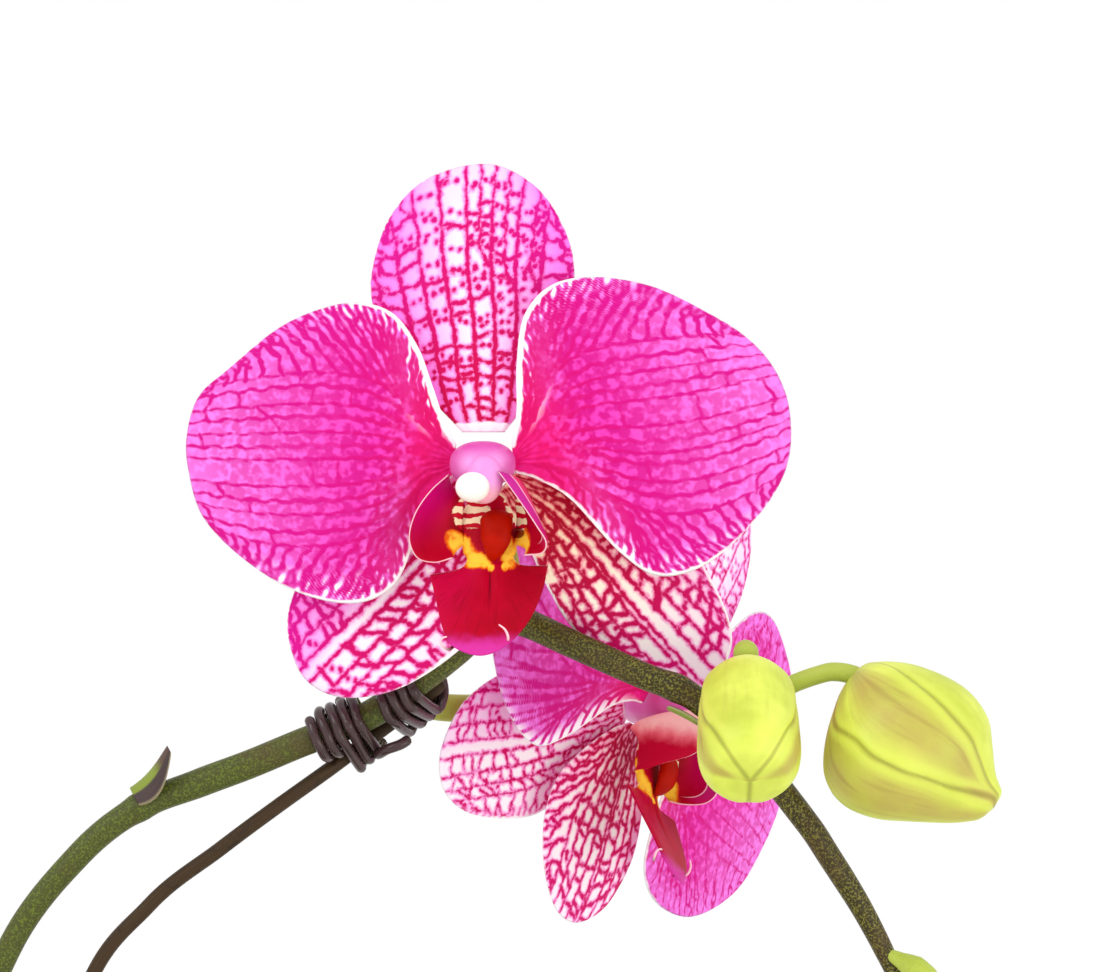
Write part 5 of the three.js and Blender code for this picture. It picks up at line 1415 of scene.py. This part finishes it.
def marked(shell, seat):
    """The shell set in its flower, with a field for each kind of mark: 1 inside an oval and 0 from 1.5
    times its size, and the field up for the height in the flower's frame."""
    x, y = shell["points"][:, 0], shell["points"][:, 1]
    fields = {**shell["fields"], "up": y}
    for name, ovals in lip_marks.items():
        fields[name] = np.zeros(len(x))
        for cx, cy, wide, high, turn in ovals:
            c, s = cos_sin(turn)
            u, v = (x - cx) * c + (y - cy) * s, (y - cy) * c - (x - cx) * s
            fields[name] = np.maximum(fields[name], np.clip(3 - 2 * np.hypot(u / wide, v / high), 0, 1))
    return {**shell, "points": seated(shell["points"], **seat), "fields": fields}


def past(which, low=0.0, high=1.0):
    """high on the parts of the lip whose kind comes after this one, and low on the others."""
    return lip.step(kind, which + 0.3, which + 0.6, low, high)


lip = Finish("lip_skin", Roughness=0.45, Specular_IOR_Level=0.06)
along, across, rim, kind, under = [lip.field(name) for name in ("along", "across", "rim", "kind", "under")]
cloud = lip.noise(260, 3)
ragged = lip.wobble(480, 3, 2.4)
up = lip.field("up")
is_side = past(RIGHT_LOBE, 1, 0)
is_left = past(LEFT_LOBE, 1, 0)
is_right = lip.times(is_side, past(LEFT_LOBE))
is_middle = lip.times(past(RIGHT_LOBE), past(MIDDLE_LOBE, 1, 0))
is_crest = past(CLAW)
lip.colour = lip.mix(cloud, tone(160, 0, 22), tone(192, 0, 44))
rosy = lip.times(lip.step(across, 0.1, 0.9), lip.step(along, 0.75, 0.1))
lip.coat(lip.times(rosy, is_side), tone(204, 2, 118))
# Painted shade and light on the middle lobe: its right side is painted darker, and its left side lighter and
# rosier, as the lamps fall on it.
painted_shade_right = lip.times(lip.step(across, 0.5, 1, 0, 0.55), is_middle)
lip.coat(painted_shade_right, tone(140, 0, 22))
painted_light_left = lip.times(lip.step(across, 0.5, 0.1, 0, 0.45), is_middle)
lip.coat(painted_light_left, tone(206, 4, 76))
streaks = lip.noise(1.0, 2, place=lip.own_place(across, along, 44, 2.5))
streaks = lip.step(streaks, 0.48, 0.75, 0, 0.4)
lip.coat(lip.times(streaks, is_middle), tone(132, 0, 24))
# Painted shade: the side lobes are darker along their inner edge, in the fold where they leave the claw.
inner = lip.times(lip.step(across, 0.35, 0.1, 0, 0.7), is_side)
lip.coat(inner, tone(132, 0, 8))
tip_band = lip.times(is_middle, lip.step(lip.sum(up, ragged), -27.2, -30.2))
lip.coat(tip_band, tone(208, 50, 152))
lip.coat(is_crest, lip.mix(cloud, tone(140, 4, 0), tone(196, 28, 4)))
marks = [lip.field(name) for name in ("gold", "cream")]
gold, cream = [lip.sum(mark, lip.times(ragged, lip.step(mark, 0, 0.4))) for mark in marks]
gold_tone = lip.mix(lip.step(gold, 0.4, 1.1), tone(226, 84, 6), tone(252, 200, 60))
gold = lip.less(lip.step(gold, 0.05, 0.45), is_crest)
lip.coat(gold, gold_tone)
bars = lip.sum(lip.times(up, 3.4), lip.times(ragged, 2.2))
bars = lip.step(lip.sum(bars, 0, "SINE"), 0.1, 0.45)
cream_tone = lip.mix(bars, tone(250, 234, 190), tone(196, 10, 40))
cream = lip.step(cream, 0.35, 0.6)
lip.coat(lip.less(cream, is_crest), cream_tone)
# Painted shade: the dark spot in the gap between the crest and the right side lobe.
lip.coat(lip.step(lip.field("gap_shade"), 0.2, 0.8, 0, 0.9), tone(110, 0, 10))
outside = lip.mix(lip.step(rim, 0.6, 2.6), tone(252, 190, 184), tone(228, 76, 128))
outside = lip.mix(lip.step(rim, 2, 6), outside, tone(190, 4, 48))
height = lip.sum(up, ragged)
near_side = lip.mix(lip.step(height, -5.5, -8.5), tone(255, 206, 196), tone(236, 110, 124))
near_side = lip.mix(lip.step(height, -7.5, -10), near_side, tone(192, 6, 50))
outside = lip.mix(is_left, outside, near_side)
is_outside = lip.sum(lip.times(under, is_left), lip.times(lip.less(1.0, under), is_right))
lip.coat(is_outside, outside)
strip = lip.times(is_right, lip.step(lip.sum(along, 0.02), 0.85, 0.7))
strip_tone = lip.mix(lip.step(along, 0.25, 0.8), tone(198, 46, 146), tone(198, 10, 84))
strip_tone = lip.mix(lip.step(rim, 2.3, 2.5), strip_tone, tone(255, 200, 220))
lip.coat(lip.times(strip, lip.step(rim, 2.75, 2.6)), strip_tone)
lip.coat(lip.step(rim, 0.22, 0.1), tone(255, 204, 214))
# Painted shade: a dark line down the groove of the middle lobe, from its neck.
groove = lip.times(lip.step(lip.size(lip.less(across, 0.5)), 0.03, 0.005), lip.step(along, 0.6, 0.1))
lip.coat(lip.times(groove, is_middle), tone(90, 0, 20))
lip.wear(height=cloud, depth=0.0003, strength=0.3)
for flower, shape in (("flower_1", lip_one), ("flower_2", lip_two)):
    shells = [
        side_lobe(shape["left_inner"], shape["left_outer"], shape["left_swell"], LEFT_LOBE),
        side_lobe(shape["right_inner"], shape["right_outer"], shape["right_swell"], RIGHT_LOBE),
        middle_lobe(shape),
        fleshy(shape["claw"], [0.5, 0.9, 1, 0.95, 0.5], 1.3, 4.6, CLAW),
        fleshy(shape["crest"], [0.7, 1, 0.95, 0.9, 0.6, 0.15], 1.5, 2.7, CREST),
    ]
    for run in tendrils:
        shells.append(tube(run, [0.26, 0.24, 0.2, 0.12], RIGHT, 30, 10, across=0.5, rim=0.0, kind=MIDDLE_LOBE,
                           under=0.0))
        shells[-1]["fields"].pop("around")
    seat = flower_seats[flower]
    make_piece(f"{flower}_lip_lobes", [marked(shell, seat) for shell in shells], lip, f"{flower}_lip")


# Column: the stubby pillar in the middle of the flower, waxy and pink, 9 mm wide, with a white cap
# like a small helmet over the pollen at its end.
COLUMN_RADIUS = 4.35
COLUMN_FLARE = 0.26
COLUMN_ROUNDNESS = 0.8
COLUMN_TOP = 0.78
CAP_TILT = 24
column_path = [[0, 0, -4.6], [0, 0, 0], [-0.1, 0.2, 4], [-0.2, -0.9, 7.4], [0, -2.6, 9.6]]
column_finish = Finish("column_skin", Roughness=0.4, Specular_IOR_Level=0.3)
column_bumps_and_highlight = column_finish.noise(300, 3)
column_rise = column_finish.field("rise")
column_finish.colour = tone(238, 160, 172)
column_finish.coat(column_finish.step(column_rise, -1.3, -0.7), tone(236, 142, 214))
column_finish.coat(column_finish.step(column_rise, 0, 0.65), tone(216, 50, 170))
column_finish.coat(column_finish.step(column_finish.field("aside"), 0.5, 1.1, 0, 0.8), tone(206, 44, 150))
# Painted highlight: pale clouds where light catches the waxy column; the same noise also makes its bumps.
column_finish.coat(column_finish.times(column_bumps_and_highlight, 0.2), tone(246, 200, 240))
column_finish.wear(height=column_bumps_and_highlight, depth=0.0002, strength=0.3)
cap_finish = Finish("cap_skin", Roughness=0.35)
cap_finish.colour = cap_finish.mix(cap_finish.noise(500, 2), tone(252, 244, 232), tone(255, 252, 246))
cap_finish.wear()
# Seen end on, the column is a circle made squarish, flattened above and flared below. A flattened ball
# ends it, and the cap is a smaller one, tilted and set over that end.
for flower, seat in flower_seats.items():
    t = np.linspace(0, 1, 60)
    a = circle(40)
    high, wide = [smoothly(shares, t) * blunt(1 - t, 0.1) * COLUMN_RADIUS
                  for shares in ([0.85, 0.93, 0.95, 0.9, 0.85, 0.5], [0.85, 0.93, 0.95, 1.12, 1.06, 0.6])]
    flare = COLUMN_FLARE * np.sin(np.pi * np.clip(t / 0.85, 0, 1))[:, None]
    flare = 1 + flare * (0.5 - 0.5 * np.cos(a))
    boxy = [np.sign(wave) * np.abs(wave) ** COLUMN_ROUNDNESS for wave in (np.cos(a), np.sin(a))]
    boxy[0] = np.where(boxy[0] > 0, COLUMN_TOP, 1) * boxy[0]
    first, second = high[:, None] * boxy[0], wide[:, None] * flare * boxy[1]
    pillar = round_body(curve(column_path, t), first, second, RIGHT)
    u, v = np.meshgrid(np.linspace(0.02, np.pi - 0.02, 28), a, indexing="ij")
    ball = np.stack([np.sin(u) * np.cos(v), np.cos(u), np.sin(u) * np.sin(v)], -1)
    pouch = rings(ball * (3, 4, 2.1) + (0.3, -2.9, 9.6))
    for shell in (pillar, pouch):
        shell["fields"]["rise"] = shell["points"][:, 1] / COLUMN_RADIUS
        shell["fields"]["aside"] = np.abs(shell["points"][:, 0]) / COLUMN_RADIUS
        shell["points"] = seated(shell["points"], **seat)
    make_piece(f"{flower}_pillar", [pillar, pouch], column_finish, f"{flower}_column")
    c, s = cos_sin(CAP_TILT)
    cap = ball * (2.8, 2.6, 1.7) @ np.array([[1, 0, 0], [0, c, s], [0, -s, c]]) + (-1.6, -4.2, 11.3)
    make_piece(f"{flower}_pollen_cap", [rings(seated(cap, **seat))], cap_finish, f"{flower}_anther_cap")


# The floor under the pot, which isn't part of the plant.
FLOOR_RADIUS = 1200
FLOOR_SIDES = 96
floor_edge = lathe([(FLOOR_RADIUS, -0.001)], FLOOR_SIDES)[0] / 1000
floor_mesh = bpy.data.meshes.new("pale_floor")
floor_mesh.from_pydata(floor_edge.tolist(), [], [list(range(FLOOR_SIDES))])
floor_mesh.materials.append(floor_finish.made)
floor = bpy.data.objects.new("pale_floor", floor_mesh)
bpy.context.scene.collection.objects.link(floor)
